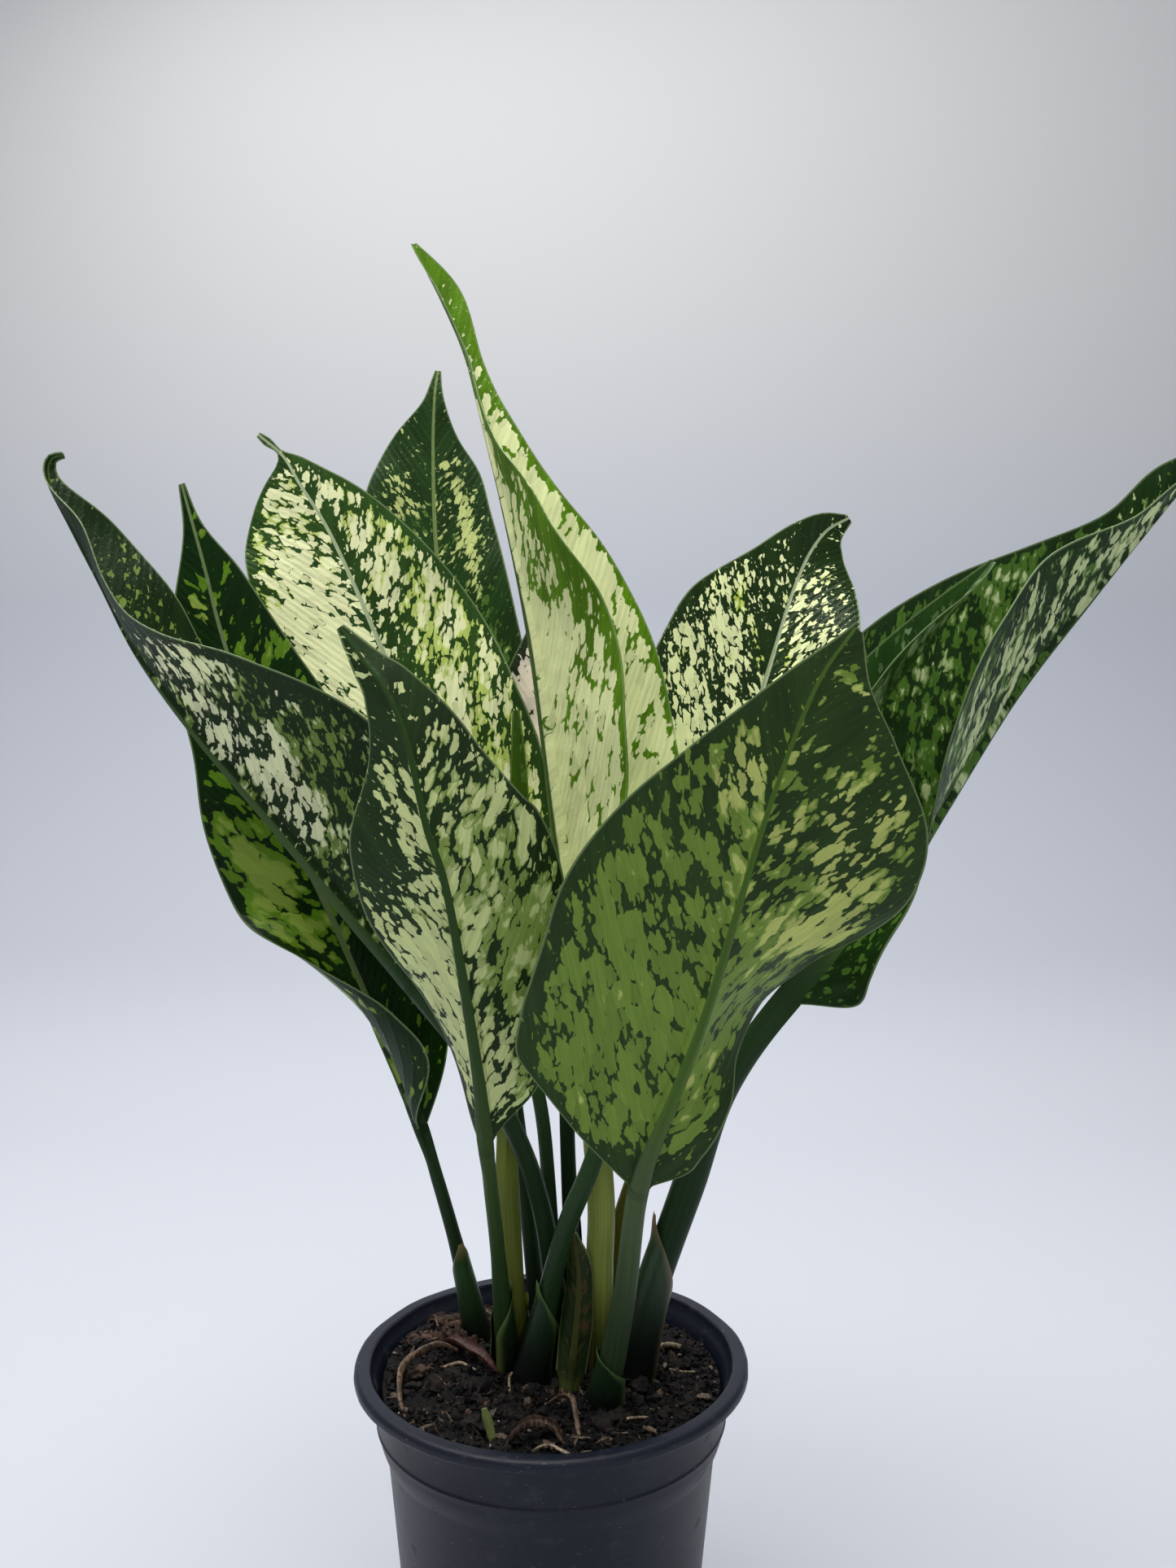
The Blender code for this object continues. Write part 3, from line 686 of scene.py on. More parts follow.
def smooth_row(rows, t):
    """The rows' values at t, on a cubic curve through them."""
    table = np.array(rows, float)
    x, y = table[:, 0], table[:, 1:]
    slopes = np.gradient(y, x, axis=0)
    k = int(np.clip(np.searchsorted(x, t, side="right") - 1, 0, len(x) - 2))
    span = x[k + 1] - x[k]
    u = (t - x[k]) / span
    ends = (1 + 2 * u) * (1 - u) ** 2 * y[k] + u * u * (3 - 2 * u) * y[k + 1]
    return ends + span * (u * (1 - u) ** 2 * slopes[k] + u * u * (u - 1) * slopes[k + 1])


def ease(value):
    """0 below 0, 1 above 1, and smooth between."""
    value = min(1.0, max(0.0, value))
    return value * value * (3 - 2 * value)


class LeafLine:
    """The one curve that a leaf's stalk and midrib follow. Below the soil's surface it is straight."""

    def __init__(self, leaf):
        points = [np.array(p) * MM for p in leaf.stalk + leaf.rib]
        axis = (points[1] - points[0]) / np.linalg.norm(points[1] - points[0])
        self.line = smooth_line([points[0] - STALK_DEPTH * axis, *points])
        lengths = np.linalg.norm(np.diff(self.line, axis=0), axis=1)
        self.at = np.concatenate([[0], np.cumsum(lengths)])
        self.blade_start = self.at[LINE_STEPS * len(leaf.stalk)]
        self.blade_length = self.at[-1] - self.blade_start

    def point(self, distance):
        return Vector([np.interp(distance, self.at, self.line[:, k]) for k in range(3)])

    def frame(self, distance):
        """The point, the sideways direction seen from the front, and the direction forward."""
        ahead = self.point(distance + TANGENT_REACH)
        tangent = (ahead - self.point(distance - TANGENT_REACH)).normalized()
        side = tangent.cross(FRONT).normalized()
        return self.point(distance), side, side.cross(tangent)


class Spot(NamedTuple):
    """A point of a leaf's skin: its place, its place along and across the side veins, its marking (pale
    share, light share, upper side) and where it lies (share of the midrib's half width, distance in from the
    margin, share of the midrib's length)."""

    place: Vector
    vein: tuple
    zone: tuple
    where: tuple


def rib_size(leaf, t):
    """Half width and height of the midrib's ridge under the blade."""
    thick = leaf.radii[2] * MM
    half = RIB_WIDTH * thick * (1 - t) + 2 * LEAST_HALF_WIDTH
    return half, RIB_HEIGHT * thick * (1 - t) ** RIB_TAPER


def marking(look, t, across, inset):
    """The pale and light shares at a place on the blade."""
    pale, light = look.pale, look.light_share
    for splash in look.splashes:
        up = (t - splash.along) / splash.reach_along
        over = (across - splash.across) / splash.reach_across
        reach = math.exp(-(up**2 + over**2))
        pale += reach * splash.pale
        light += reach * splash.light
    border = look.border * MM
    return pale * ease((inset - 0.2 * border) / border), light


def steps_out(width, rib_half):
    """Distances from the midrib at which a half is sampled: some over the rib, the rest out to the margin."""
    first = min(rib_half, RIB_MOST_SHARE * width)
    near = [first * k / RIB_STEPS for k in range(1, RIB_STEPS + 1)]
    count = HALF_STEPS - RIB_STEPS
    shares = [math.sin(math.pi / 2 * k / count) ** HALF_STEP_SPREAD for k in range(1, count + 1)]
    return near + [first + (width - first) * share for share in shares]


def half_rows(leaf, line, here, side, forward, t, way, rib_half):
    """Position, normal, distance from the midrib, the half's width and the place across the side veins, for
    the steps across one half of the blade."""
    row = smooth_row(leaf.halves, t)
    width, fold, curl = row[:3] if way < 0 else row[3:]
    width, fold, curl = max(width * MM, LEAST_HALF_WIDTH), math.radians(fold), math.radians(curl)
    along = t * line.blade_length
    count, phase, height = leaf.waves
    swing = height * MM * math.sin(2 * math.pi * (count * t + phase) + way) * math.sin(math.pi * t)
    ripple = noise.noise((along / RIPPLE_LENGTH, way * 7, leaf.radii[0]))
    ripple *= RIPPLE_HEIGHT * math.sin(math.pi * t)
    place, gone, rows = here.copy(), 0.0, []
    for stop in steps_out(width, rib_half):
        angle = fold + curl * (gone + stop) / 2 / width
        place = place + (way * side * math.cos(angle) + forward * math.sin(angle)) * (stop - gone)
        gone = stop
        out = stop / width
        bend = fold + curl * out
        normal = forward * math.cos(bend) - way * side * math.sin(bend)
        across_veins = along - VEIN_RISE * stop - VEIN_SWEEP * stop * stop
        puff = PUFF_HEIGHT * math.cos(2 * math.pi * across_veins / VEIN_GAP) * math.sin(math.pi * min(1, out))
        puff *= min(1.0, width / PUFF_FULL_WIDTH)
        lift = swing * out**2 + ripple * out**3 + puff
        rows.append((place + normal * lift, normal, stop, width, across_veins))
    return rows


def blade_ring(leaf, look, line, t):
    """The closed outline of the blade's section: its front from left to right, then its back."""
    rib_half, rib_high = rib_size(leaf, t)
    here, side, forward = line.frame(line.blade_start + t * line.blade_length)
    left = half_rows(leaf, line, here, side, forward, t, -1, rib_half)
    right = half_rows(leaf, line, here, side, forward, t, 1, rib_half)
    middle = (left[0][1] + right[0][1]).normalized()
    centre = (here, middle, 0.0, right[0][3], t * line.blade_length)
    rows = [(-1, r) for r in reversed(left)] + [(1, centre)] + [(1, r) for r in right]
    front, back = [], []
    for way, (place, normal, out, width, across_veins) in rows:
        over = max(0.0, 1 - (out / rib_half) ** 2)
        rib, groove = rib_high * math.sqrt(over), GROOVE_DEPTH * over * (1 - t)
        inset = width - out
        thick = MARGIN_THICKNESS + (BLADE_THICKNESS - MARGIN_THICKNESS) * ease(inset / MARGIN_REACH)
        upper, under = thick / 2 - groove, thick / 2 + rib
        ahead, behind = (upper, under) if leaf.upper_in_front else (under, upper)
        pale, light = marking(look, t, way * out / width, inset)
        vein_along = (out + VEIN_RISE * t * line.blade_length) / VEIN_SLANT
        vein = (way * vein_along + look.seed, across_veins / VEIN_SLANT, across_veins)
        where = (out / rib_half, inset, t)
        upper_front = float(leaf.upper_in_front)
        front.append(Spot(place + normal * ahead, vein, (pale, light, upper_front), where))
        back.append(Spot(place - normal * behind, vein, (pale, light, 1 - upper_front), where))
    return front + back[::-1]


def stalk_ring(leaf, look, line, share, roll, end):
    """The stalk's round outline, which near its top takes on the outline of the blade's foot."""
    distance = share * line.blade_start
    here, side, forward = line.frame(distance)
    root = STALK_DEPTH + STALK_ROOT_LENGTH
    above = max(0.0, (distance - root) / (line.blade_start - root))
    radius = np.interp(above, [0, 0.5, 1], leaf.radii) * MM
    count = 2 * (2 * HALF_STEPS + 1)
    where = (STALK_OFF_RIB, STALK_OFF_MARGIN, above + STALK_FIRST_SHARE)
    ring = []
    for k in range(count):
        turn = roll + math.pi / 2 - (k + 0.5) * 2 * math.pi / count
        out = Vector((math.cos(turn), math.sin(turn))) * radius
        out = out.lerp(end[k], ease((share - JOINT_START) / (1 - JOINT_START)))
        place = here + side * out.x + forward * out.y
        vein = (radius * 2 * math.pi * abs(2 * k / count - 1) + look.seed, distance, 0.0)
        ring.append(Spot(place, vein, (0.0, 0.0, 0.0), where))
    return ring


def leaf_rings(leaf, look):
    """Outlines from the stalk's foot to the blade's tip. The stalk's are rolled to meet the blade's."""
    line = LeafLine(leaf)
    foot, side, forward = line.frame(line.blade_start)
    first = blade_ring(leaf, look, line, 0.0)
    end = [Vector(((spot.place - foot).dot(side), (spot.place - foot).dot(forward))) for spot in first]
    middle = first[HALF_STEPS].place - first[-1 - HALF_STEPS].place
    roll = math.atan2(middle.dot(forward), middle.dot(side))
    stalk_steps = max(6, round(line.blade_start / STALK_STEP))
    blade_steps = max(12, round(line.blade_length / BLADE_STEP))
    rings = [stalk_ring(leaf, look, line, k / stalk_steps, roll, end) for k in range(stalk_steps)]
    for k in range(blade_steps + 1):
        rings.append(blade_ring(leaf, look, line, BLADE_END * (k / blade_steps) ** BLADE_STEP_GROWTH))
    return rings


def add_piece(name, bm, finish, slot, *replaced):
    """Makes an object of the mesh, which rides with the plant and takes the place of the named nodes."""
    mesh = bpy.data.meshes.new(name)
    bm.to_mesh(mesh)
    bm.free()
    mesh.materials.append(finish)
    mesh.shade_smooth()
    mesh.set_sharp_from_angle(angle=math.radians(SHARP_ANGLE))
    piece = bpy.data.objects.new(name, mesh)
    bpy.context.scene.collection.objects.link(piece)
    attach(piece, "root")
    if replaced:
        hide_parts(*replaced)


def outward(bm):
    """Turns the faces of a closed mesh to point outwards."""
    bmesh.ops.recalc_face_normals(bm, faces=bm.faces)
    if bm.calc_volume(signed=True) < 0:
        bmesh.ops.reverse_faces(bm, faces=bm.faces)


def add_leaf(leaf):
    """A grid rolled into the leaf's skin, which carries the places of its veins and its markings."""
    look = LOOKS[leaf.name]
    rings = leaf_rings(leaf, look)
    around, up = len(rings[0]), len(rings)
    bm = bmesh.new()
    layers = [bm.verts.layers.float_vector.new(name) for name in ("vein", "zone", "where")]
    bmesh.ops.create_grid(bm, x_segments=around, y_segments=up - 1, size=0.5)
    for vert in bm.verts:
        column = round((vert.co.x + 0.5) * around) % around
        spot = rings[round((vert.co.y + 0.5) * (up - 1))][column]
        vert.co = spot.place
        for layer, values in zip(layers, spot[1:]):
            vert[layer] = values
    bmesh.ops.remove_doubles(bm, verts=bm.verts, dist=1e-6)
    bmesh.ops.holes_fill(bm, edges=bm.edges, sides=around)
    outward(bm)
    add_piece(leaf.name + "_skin", bm, leaf_finish(leaf, look), look.slot, leaf.name)


def colour_of(tone):
    """The linear colour of a tone given as it is seen, 0 to 255."""
    return (*[((c / 255 + 0.055) / 1.055) ** 2.4 for c in tone], 1.0)


class Paint:
    """A finish and the nodes that make it."""

    def __init__(self, name, roughness=0.5):
        self.finish = bpy.data.materials.new(name)
        self.finish.use_nodes = True
        self.tree = self.finish.node_tree
        self.shader = self.tree.nodes["Principled BSDF"]
        self.shader.inputs["Roughness"].default_value = roughness

    def put(self, socket, value):
        if isinstance(value, bpy.types.NodeSocket):
            self.tree.links.new(value, socket)
        else:
            socket.default_value = value

    def node(self, kind, inputs, **settings):
        made = self.tree.nodes.new("ShaderNode" + kind)
        for key, value in settings.items():
            setattr(made, key, value)
        for socket, value in inputs.items():
            self.put(made.inputs[socket], value)
        return made

    def maths(self, operation, *values):
        return self.node("Math", dict(enumerate(values)), operation=operation).outputs[0]

    def vectors(self, operation, *values):
        return self.node("VectorMath", dict(enumerate(values)), operation=operation).outputs[0]

    def read(self, attribute):
        return self.node("Attribute", {}, attribute_name=attribute).outputs["Vector"]

    def split(self, vector):
        return self.node("SeparateXYZ", {"Vector": vector}).outputs

    def place(self):
        return self.tree.nodes.new("ShaderNodeTexCoord").outputs["Object"]

    def scaled(self, place, sizes, shift=0.0):
        """The place in units of the given sizes, moved along so that no two patterns match."""
        scale = [1 / size for size in sizes]
        inputs = {"Vector": place, "Location": (shift, 0.7 * shift, 0.3 * shift), "Scale": scale}
        return self.node("Mapping", inputs).outputs[0]

    def noise(self, place, sizes, shift=0.0, detail=2.0, output="Fac"):
        inputs = {"Vector": self.scaled(place, sizes, shift), "Scale": 1.0, "Detail": detail}
        return self.node("TexNoise", inputs).outputs[output]

    def cells(self, place, sizes, shift=0.0):
        """The distance from the middle of the nearest of many cells, and that cell's random share."""
        inputs = {"Vector": self.scaled(place, sizes, shift), "Scale": 1.0}
        made = self.node("TexVoronoi", inputs, voronoi_dimensions="2D", feature="F1")
        return made.outputs["Distance"], self.split(made.outputs["Color"])[0]

    def step(self, value, start, stop, low=0.0, high=1.0):
        inputs = {"Value": value, "From Min": start, "From Max": stop, "To Min": low, "To Max": high}
        return self.node("MapRange", inputs, interpolation_type="SMOOTHSTEP").outputs[0]

    def mix(self, share, first, second):
        inputs = {0: share, 6: first, 7: second}
        return self.node("Mix", inputs, data_type="RGBA").outputs[2]

    def shade(self, colour, share):
        """The colour made darker or lighter by a share."""
        return self.node("HueSaturation", {"Color": colour, "Value": share}).outputs[0]

    def mottled(self, colour, pattern, start, stop, darkest, lightest):
        """The colour made darker and lighter by a pattern, as its value goes from start to stop."""
        return self.shade(colour, self.step(pattern, start, stop, darkest, lightest))

    def bump(self, height, distance, strength):
        made = self.node("Bump", {"Height": height, "Distance": distance, "Strength": strength})
        self.put(self.shader.inputs["Normal"], made.outputs[0])

    def dress(self, colour, roughness=None, shine=None):
        """Gives the shader its colour, and its roughness and shine where they are given."""
        values = {"Base Color": colour, "Roughness": roughness, "Specular IOR Level": shine}
        for socket, value in values.items():
            if value is not None:
                self.put(self.shader.inputs[socket], value)


# Leaf tones, as seen: the midrib's on the two sides, the margin's (a pale rim of painted light through the
# thin edge), and the veil over the under side
UPPER_RIB = (180, 194, 140)
UNDER_RIB = (72, 100, 48)
LIT_MARGIN_TONE = (150, 172, 118)
LIT_MARGIN_SHARE = 0.55
UNDER_TONE = (116, 140, 108)
UNDER_VEIL = 0.04

# Shades that patterns give, the darkest and the lightest
BLOTCH_SHADES = (0.88, 1.08)
GROUND_SHADES = (0.8, 1.25)
STREAK_SHADES = (0.9, 1.1)
STALK_SHADES = (0.85, 1.15)
DRIED_SHADES = (0.6, 1.2)
SHEATH_SHADES = (0.8, 1.15)

# The leaf's skin: its midrib and the margin's rim of painted light as seen, and how it shines
RIB_EDGE_UNDER = 0.5
RIB_EDGE_UPPER = 0.55
RIB_EDGE_FOOT = 0.4
MARGIN_INNER = 0.0007
MARGIN_OUTER = 0.0003
LEAF_SHINE = 0.14
GRAIN_ROUGHNESS = 0.16
UPPER_SMOOTHNESS = 0.08
VEIN_LINE_HEIGHT = 0.25

# Bumps: the depth in metres and the strength
LEAF_BUMP = (0.00022, 0.6)
POT_BUMP = (0.0001, 0.5)
SOIL_BUMP = (0.0005, 0.8)
DRIED_BUMP = (0.0002, 0.7)
SHEATH_BUMP = (0.0001, 0.5)

# Sizes of the other patterns: along and across the side veins, round and along the stalks, else X, Y and Z
GROUND_SIZES = (0.03, 0.006, 1)
STREAK_SIZES = (0.014, 0.0008, 1)
STALK_FIBRE_SIZES = (0.0009, 0.03, 1)
LEAF_GRAIN_SIZES = (0.0012, 0.0008, 1)
POT_CLOUD_SIZES = (0.03, 0.03, 0.02)
DUST_SIZES = (0.006, 0.006, 0.004)
SCRATCH_SIZES = (0.0022, 0.0022, 0.0004)
POT_GRAIN_SIZES = (0.0005, 0.0005, 0.0005)
POT_WAVE_SIZES = (0.012, 0.012, 0.006)
DRY_SIZES = (0.006, 0.006, 0.006)
SPECK_SIZES = (0.0007, 0.0007, 0.0007)
SOIL_GRAIN_SIZES = (0.0008, 0.0008, 0.0008)
DRIED_FIBRE_SIZES = (0.0006, 0.0006, 0.004)
DRIED_PATCH_SIZES = (0.005, 0.005, 0.005)
SHEATH_STREAK_SIZES = (0.0008, 0.0008, 0.012)

# Markings, with sizes along and across the side veins
WOBBLE_SIZES = (0.0034, 0.0022, 1)
WOBBLE_REACH = (0.0044, 0.0028, 0)
FIELD_SIZES = (0.024, 0.013, 1)
FIELD_DEPTH = 1.3
BLOTCH_SIZES = (0.0062, 0.0030)
BLOTCH_LEAST = 0.5
BLOTCH_CHANCE = 0.9
FLECK_SIZES = (0.0025, 0.00125)
FLECK_DEPTH = 0.42
FLECK_LIFT = 0.19
DOT_LEAST = -0.8
DOT_CHANCE = 1.7
TINT_SIZES = (0.016, 0.008, 1)
TINT_DEPTH = 1.6
TINT_INSIDE = 0.8
TINT_SOFTNESS = 0.14


def leaf_pattern(paint, vein, pale, light, size):
    """How far a place lies inside the pale blotches (below 0 is outside), its share of the light tone, and
    its blotch's random share. Rounded cells, large and small, lie along the side veins: few and small where
    the leaf is mostly dark, and grown together, with dark flecks between them, where it is mostly pale."""
    blotches = (BLOTCH_SIZES[0] * size, BLOTCH_SIZES[1] * size, 1)
    flecks = (FLECK_SIZES[0] * size, FLECK_SIZES[1] * size, 1)
    wobble = paint.noise(vein, WOBBLE_SIZES, 4.1, 3, "Color")
    wobble = paint.vectors("SUBTRACT", wobble, (0.5, 0.5, 0.5))
    moved = paint.vectors("ADD", vein, paint.vectors("MULTIPLY", wobble, WOBBLE_REACH))
    field = paint.maths("SUBTRACT", paint.noise(moved, FIELD_SIZES, 2.2), 0.5)
    share = paint.maths("MULTIPLY_ADD", field, FIELD_DEPTH, pale)
    far, draw = paint.cells(moved, blotches)
    near, small = paint.cells(moved, flecks, 5.5)
    reach = paint.maths("MULTIPLY", share, paint.maths("MULTIPLY_ADD", draw, BLOTCH_CHANCE, BLOTCH_LEAST))
    inside = paint.maths("SUBTRACT", reach, far)
    inside = paint.maths("MULTIPLY_ADD", near, -FLECK_DEPTH, paint.maths("ADD", inside, FLECK_LIFT))
    dots = paint.maths("MULTIPLY", share, paint.maths("MULTIPLY_ADD", small, DOT_CHANCE, DOT_LEAST))
    dots = paint.maths("SUBTRACT", dots, near)
    inside = paint.maths("MAXIMUM", inside, dots)
    tint = paint.maths("SUBTRACT", paint.noise(moved, TINT_SIZES, 9.3), 0.5)
    tint = paint.maths("MULTIPLY_ADD", tint, TINT_DEPTH, paint.maths("SUBTRACT", light, 0.5))
    tint = paint.maths("MULTIPLY_ADD", inside, TINT_INSIDE, tint)
    return inside, paint.step(tint, -TINT_SOFTNESS, TINT_SOFTNESS), draw


def blade_colour(paint, look, vein, pale, light):
    """Dark green, with pale blotches drawn out along the side veins and light ones among them."""
    inside, light_share, draw = leaf_pattern(paint, vein, pale, light, look.cell)
    blotch = paint.mix(light_share, colour_of(look.middle), colour_of(look.light))
    blotch = paint.mottled(blotch, draw, 0.0, 1.0, *BLOTCH_SHADES)
    patches = paint.noise(vein, GROUND_SIZES, 3.7)
    dark = paint.mottled(colour_of(look.dark), patches, 0.3, 0.7, *GROUND_SHADES)
    colour = paint.mix(paint.step(inside, -0.03, 0.03), dark, blotch)
    streaks = paint.noise(vein, STREAK_SIZES, 1.7)
    return paint.mottled(colour, streaks, 0.2, 0.8, *STREAK_SHADES)


def rib_colour(paint, leaf, look, upper, along, top):
    """The midrib's tone: the leaf's own on the side seen in front, and the stalk's on both near the stalk."""
    under, over = (UNDER_RIB, look.rib) if leaf.upper_in_front else (look.rib, UPPER_RIB)
    colour = paint.mix(upper, colour_of(under), colour_of(over))
    return paint.mix(paint.step(along, 0.0, 0.2), top, colour)


def stalk_colour(paint, vein, along, foot, middle, top):
    """The stalk's tones from its foot, dark with painted shade, to the blade, with fine fibres along it."""
    # painted shade: the foot tone near the soil, fading into the middle tone
    colour = paint.mix(paint.step(along, STALK_FIRST_SHARE, -0.8), foot, middle)
    colour = paint.mix(paint.step(along, -0.7, -0.08), colour, top)
    fibres = paint.noise(vein, STALK_FIBRE_SIZES, 6.1)
    return paint.mottled(colour, fibres, 0.25, 0.75, *STALK_SHADES)


def leaf_finish(leaf, look):
    """The blade's markings with the midrib, the margin and the stalk over them. Some light comes through."""
    paint = Paint(leaf.name, look.roughness)
    vein = paint.read("vein")
    pale, light, upper = paint.split(paint.read("zone"))
    rib_out, inset, along = paint.split(paint.read("where"))
    foot, middle, top = [colour_of(tone) for tone in look.stalk]

    colour = blade_colour(paint, look, vein, pale, light)
    veiled = paint.maths("MULTIPLY", paint.maths("SUBTRACT", 1.0, upper), UNDER_VEIL)
    colour = paint.mix(veiled, colour, colour_of(UNDER_TONE))
    rib_edge = paint.step(upper, 0.0, 1.0, RIB_EDGE_UNDER, RIB_EDGE_UPPER)
    rib_edge = paint.maths("ADD", rib_edge, paint.step(along, 0.25, 0.0, 0.0, RIB_EDGE_FOOT))
    rib_share = paint.step(paint.maths("SUBTRACT", rib_edge, rib_out), -0.08, 0.1)
    colour = paint.mix(rib_share, colour, rib_colour(paint, leaf, look, upper, along, top))
    # painted light: a pale rim along the margin, for light through the thin edge
    lit_edge_share = paint.step(inset, MARGIN_INNER, MARGIN_OUTER, 0.0, LIT_MARGIN_SHARE)
    colour = paint.mix(lit_edge_share, colour, colour_of(LIT_MARGIN_TONE))
    stalk = stalk_colour(paint, vein, along, foot, middle, top)
    colour = paint.mix(paint.step(along, 0.0, -0.03), colour, stalk)

    lines = paint.maths("COSINE", paint.maths("MULTIPLY", paint.split(vein)[2], 2 * math.pi / (VEIN_GAP / 2)))
    fine = paint.noise(vein, LEAF_GRAIN_SIZES, 7.7, 3)
    rough = paint.maths("MULTIPLY_ADD", fine, GRAIN_ROUGHNESS, look.roughness - GRAIN_ROUGHNESS / 2)
    rough = paint.maths("MULTIPLY_ADD", upper, -UPPER_SMOOTHNESS, rough)
    paint.dress(colour, rough, LEAF_SHINE)
    paint.bump(paint.maths("MULTIPLY_ADD", lines, VEIN_LINE_HEIGHT, fine), *LEAF_BUMP)
    glow = paint.node("BsdfTranslucent", {"Color": paint.shade(colour, 1.1)})
    both = paint.node("MixShader", {0: look.glow, 1: paint.shader.outputs[0], 2: glow.outputs[0]})
    paint.put(paint.tree.nodes["Material Output"].inputs["Surface"], both.outputs[0])
    return paint.finish


# Tones of the pot, the soil and the sheaths, as seen
POT_TONES = ((8, 14, 28), (17, 24, 41))
DUST_TONE = (84, 86, 90)
DUST_MOST = 0.22
SCRATCH_TONE = (120, 124, 132)
SPECK_TONE = (92, 76, 62)
# Painted shade: the sheaths' near-black foot tone, for the shade near the soil
SHEATH_FOOT_SHADE_TONE = (8, 14, 12)


def pot_finish():
    """Satin moulded plastic, dark slate, with dust and fine scratches."""
    paint = Paint("slate_plastic")
    place = paint.place()
    deep, pale = [colour_of(tone) for tone in POT_TONES]
    colour = paint.mix(paint.noise(place, POT_CLOUD_SIZES), deep, pale)
    dust = paint.step(paint.noise(place, DUST_SIZES, 3.0, 6), 0.56, 0.74, 0.0, DUST_MOST)
    colour = paint.mix(dust, colour, colour_of(DUST_TONE))
    scratches = paint.noise(place, SCRATCH_SIZES, 8.0, 2)
    colour = paint.mix(paint.step(scratches, 0.70, 0.76, 0.0, 0.5), colour, colour_of(SCRATCH_TONE))
    paint.dress(colour, paint.step(dust, 0.0, DUST_MOST, 0.42, 0.6), 0.32)
    grain = paint.noise(place, POT_GRAIN_SIZES, 1.0, 3)
    waves = paint.noise(place, POT_WAVE_SIZES, 2.0)
    paint.bump(paint.maths("MULTIPLY_ADD", waves, 2.0, grain), *POT_BUMP)
    return paint.finish


def soil_finish(name, dark, pale, shift):
    """Damp peat: dark, with paler, drier patches and small specks."""
    paint = Paint(name)
    place = paint.place()
    dry = paint.step(paint.noise(place, DRY_SIZES, shift, 4), 0.44, 0.68)
    colour = paint.mix(dry, colour_of(dark), colour_of(pale))
    specks = paint.noise(place, SPECK_SIZES, shift + 4, 2)
    colour = paint.mix(paint.step(specks, 0.66, 0.76, 0.0, 0.45), colour, colour_of(SPECK_TONE))
    paint.dress(colour, paint.step(dry, 0.0, 1.0, 0.72, 0.95), 0.2)
    paint.bump(paint.noise(place, SOIL_GRAIN_SIZES, shift, 5), *SOIL_BUMP)
    return paint.finish


def dried_finish(name, dark, pale):
    """A dried leaf, stem or chip: brown with paler fibres."""
    paint = Paint(name, 0.62)
    place = paint.place()
    fibres = paint.noise(place, DRIED_FIBRE_SIZES, 1.0, 4)
    colour = paint.mix(paint.step(fibres, 0.35, 0.65), colour_of(dark), colour_of(pale))
    patches = paint.noise(place, DRIED_PATCH_SIZES, 3.0)
    paint.dress(paint.mottled(colour, patches, 0.3, 0.7, *DRIED_SHADES))
    paint.bump(fibres, *DRIED_BUMP)
    return paint.finish


def sheath_finish(name, body, edge):
    """A green sheath, darkened at its foot with painted shade, with a thin, paler edge and tip."""
    paint = Paint(name, 0.38)
    across, along, _ = paint.split(paint.read("where"))
    streaks = paint.noise(paint.place(), SHEATH_STREAK_SIZES, 2.0, 3)
    colour = paint.mottled(colour_of(body), streaks, 0.3, 0.7, *SHEATH_SHADES)
    # painted shade at the sheath's foot, fading into its body colour above
    colour = paint.mix(paint.step(along, 0.1, 0.8), colour_of(SHEATH_FOOT_SHADE_TONE), colour)
    rim = paint.step(paint.maths("ABSOLUTE", across), 0.75, 0.97, 0.0, 0.5)
    tip = paint.step(along, 0.8, 1.0, 0.0, 0.9)
    paint.dress(paint.mix(paint.maths("MAXIMUM", rim, tip), colour, colour_of(edge)))
    paint.bump(streaks, *SHEATH_BUMP)
    return paint.finish


class Sheath(NamedTuple):
    """The wing of a leaf's base round its stalk: how far up the stalk it ends, the direction that its middle
    faces in degrees (0 is right, 90 is the front), how far round it reaches at its foot, how far its tip
    leans out in millimetres, and the tones of its body and its edge."""

    leaf: str
    end: float
    facing: float
    wrap: float
    lean: float
    tones: tuple = ((30, 54, 30), (104, 132, 70))


SHEATHS = (
    Sheath("leaf_left", 0.5, 60, 300, 1.4, ((38, 74, 30), (140, 128, 84))),
    Sheath("leaf_front_left", 0.4, -40, 290, 0.6, ((34, 62, 32), (140, 158, 84))),
    Sheath("leaf_far_left", 0.22, 190, 190, 1.0, ((56, 88, 30), (110, 136, 48))),
    Sheath("leaf_back_left", 0.4, 215, 170, 0.8),
    Sheath("leaf_centre_back", 0.44, 300, 150, 0.8),
    Sheath("leaf_back_right", 0.42, 160, 290, 0.9),
    Sheath("leaf_far_right", 0.42, 170, 300, 1.8, ((36, 62, 34), (128, 110, 78))),
    Sheath("leaf_front_right", 0.3, 165, 290, 1.1),
    Sheath("leaf_tall", 0.26, -100, 280, 0.6, ((96, 104, 40), (128, 128, 58))),
    Sheath("leaf_new_left", 0.34, -20, 200, 0.7, ((84, 98, 34), (140, 148, 62))),
)


def sheath_half(sheath, along):
    """Half the angle that the sheath covers at a share of its height, in radians."""
    narrowed = ease((along - SHEATH_NARROW_START) / SHEATH_NARROW_REACH)
    tip = SHEATH_TIP_HALF * (1 - SHEATH_TIP_LOSS * along**SHEATH_TIP_BLUNTNESS)
    return math.radians(sheath.wrap / 2) * (1 - narrowed) + tip


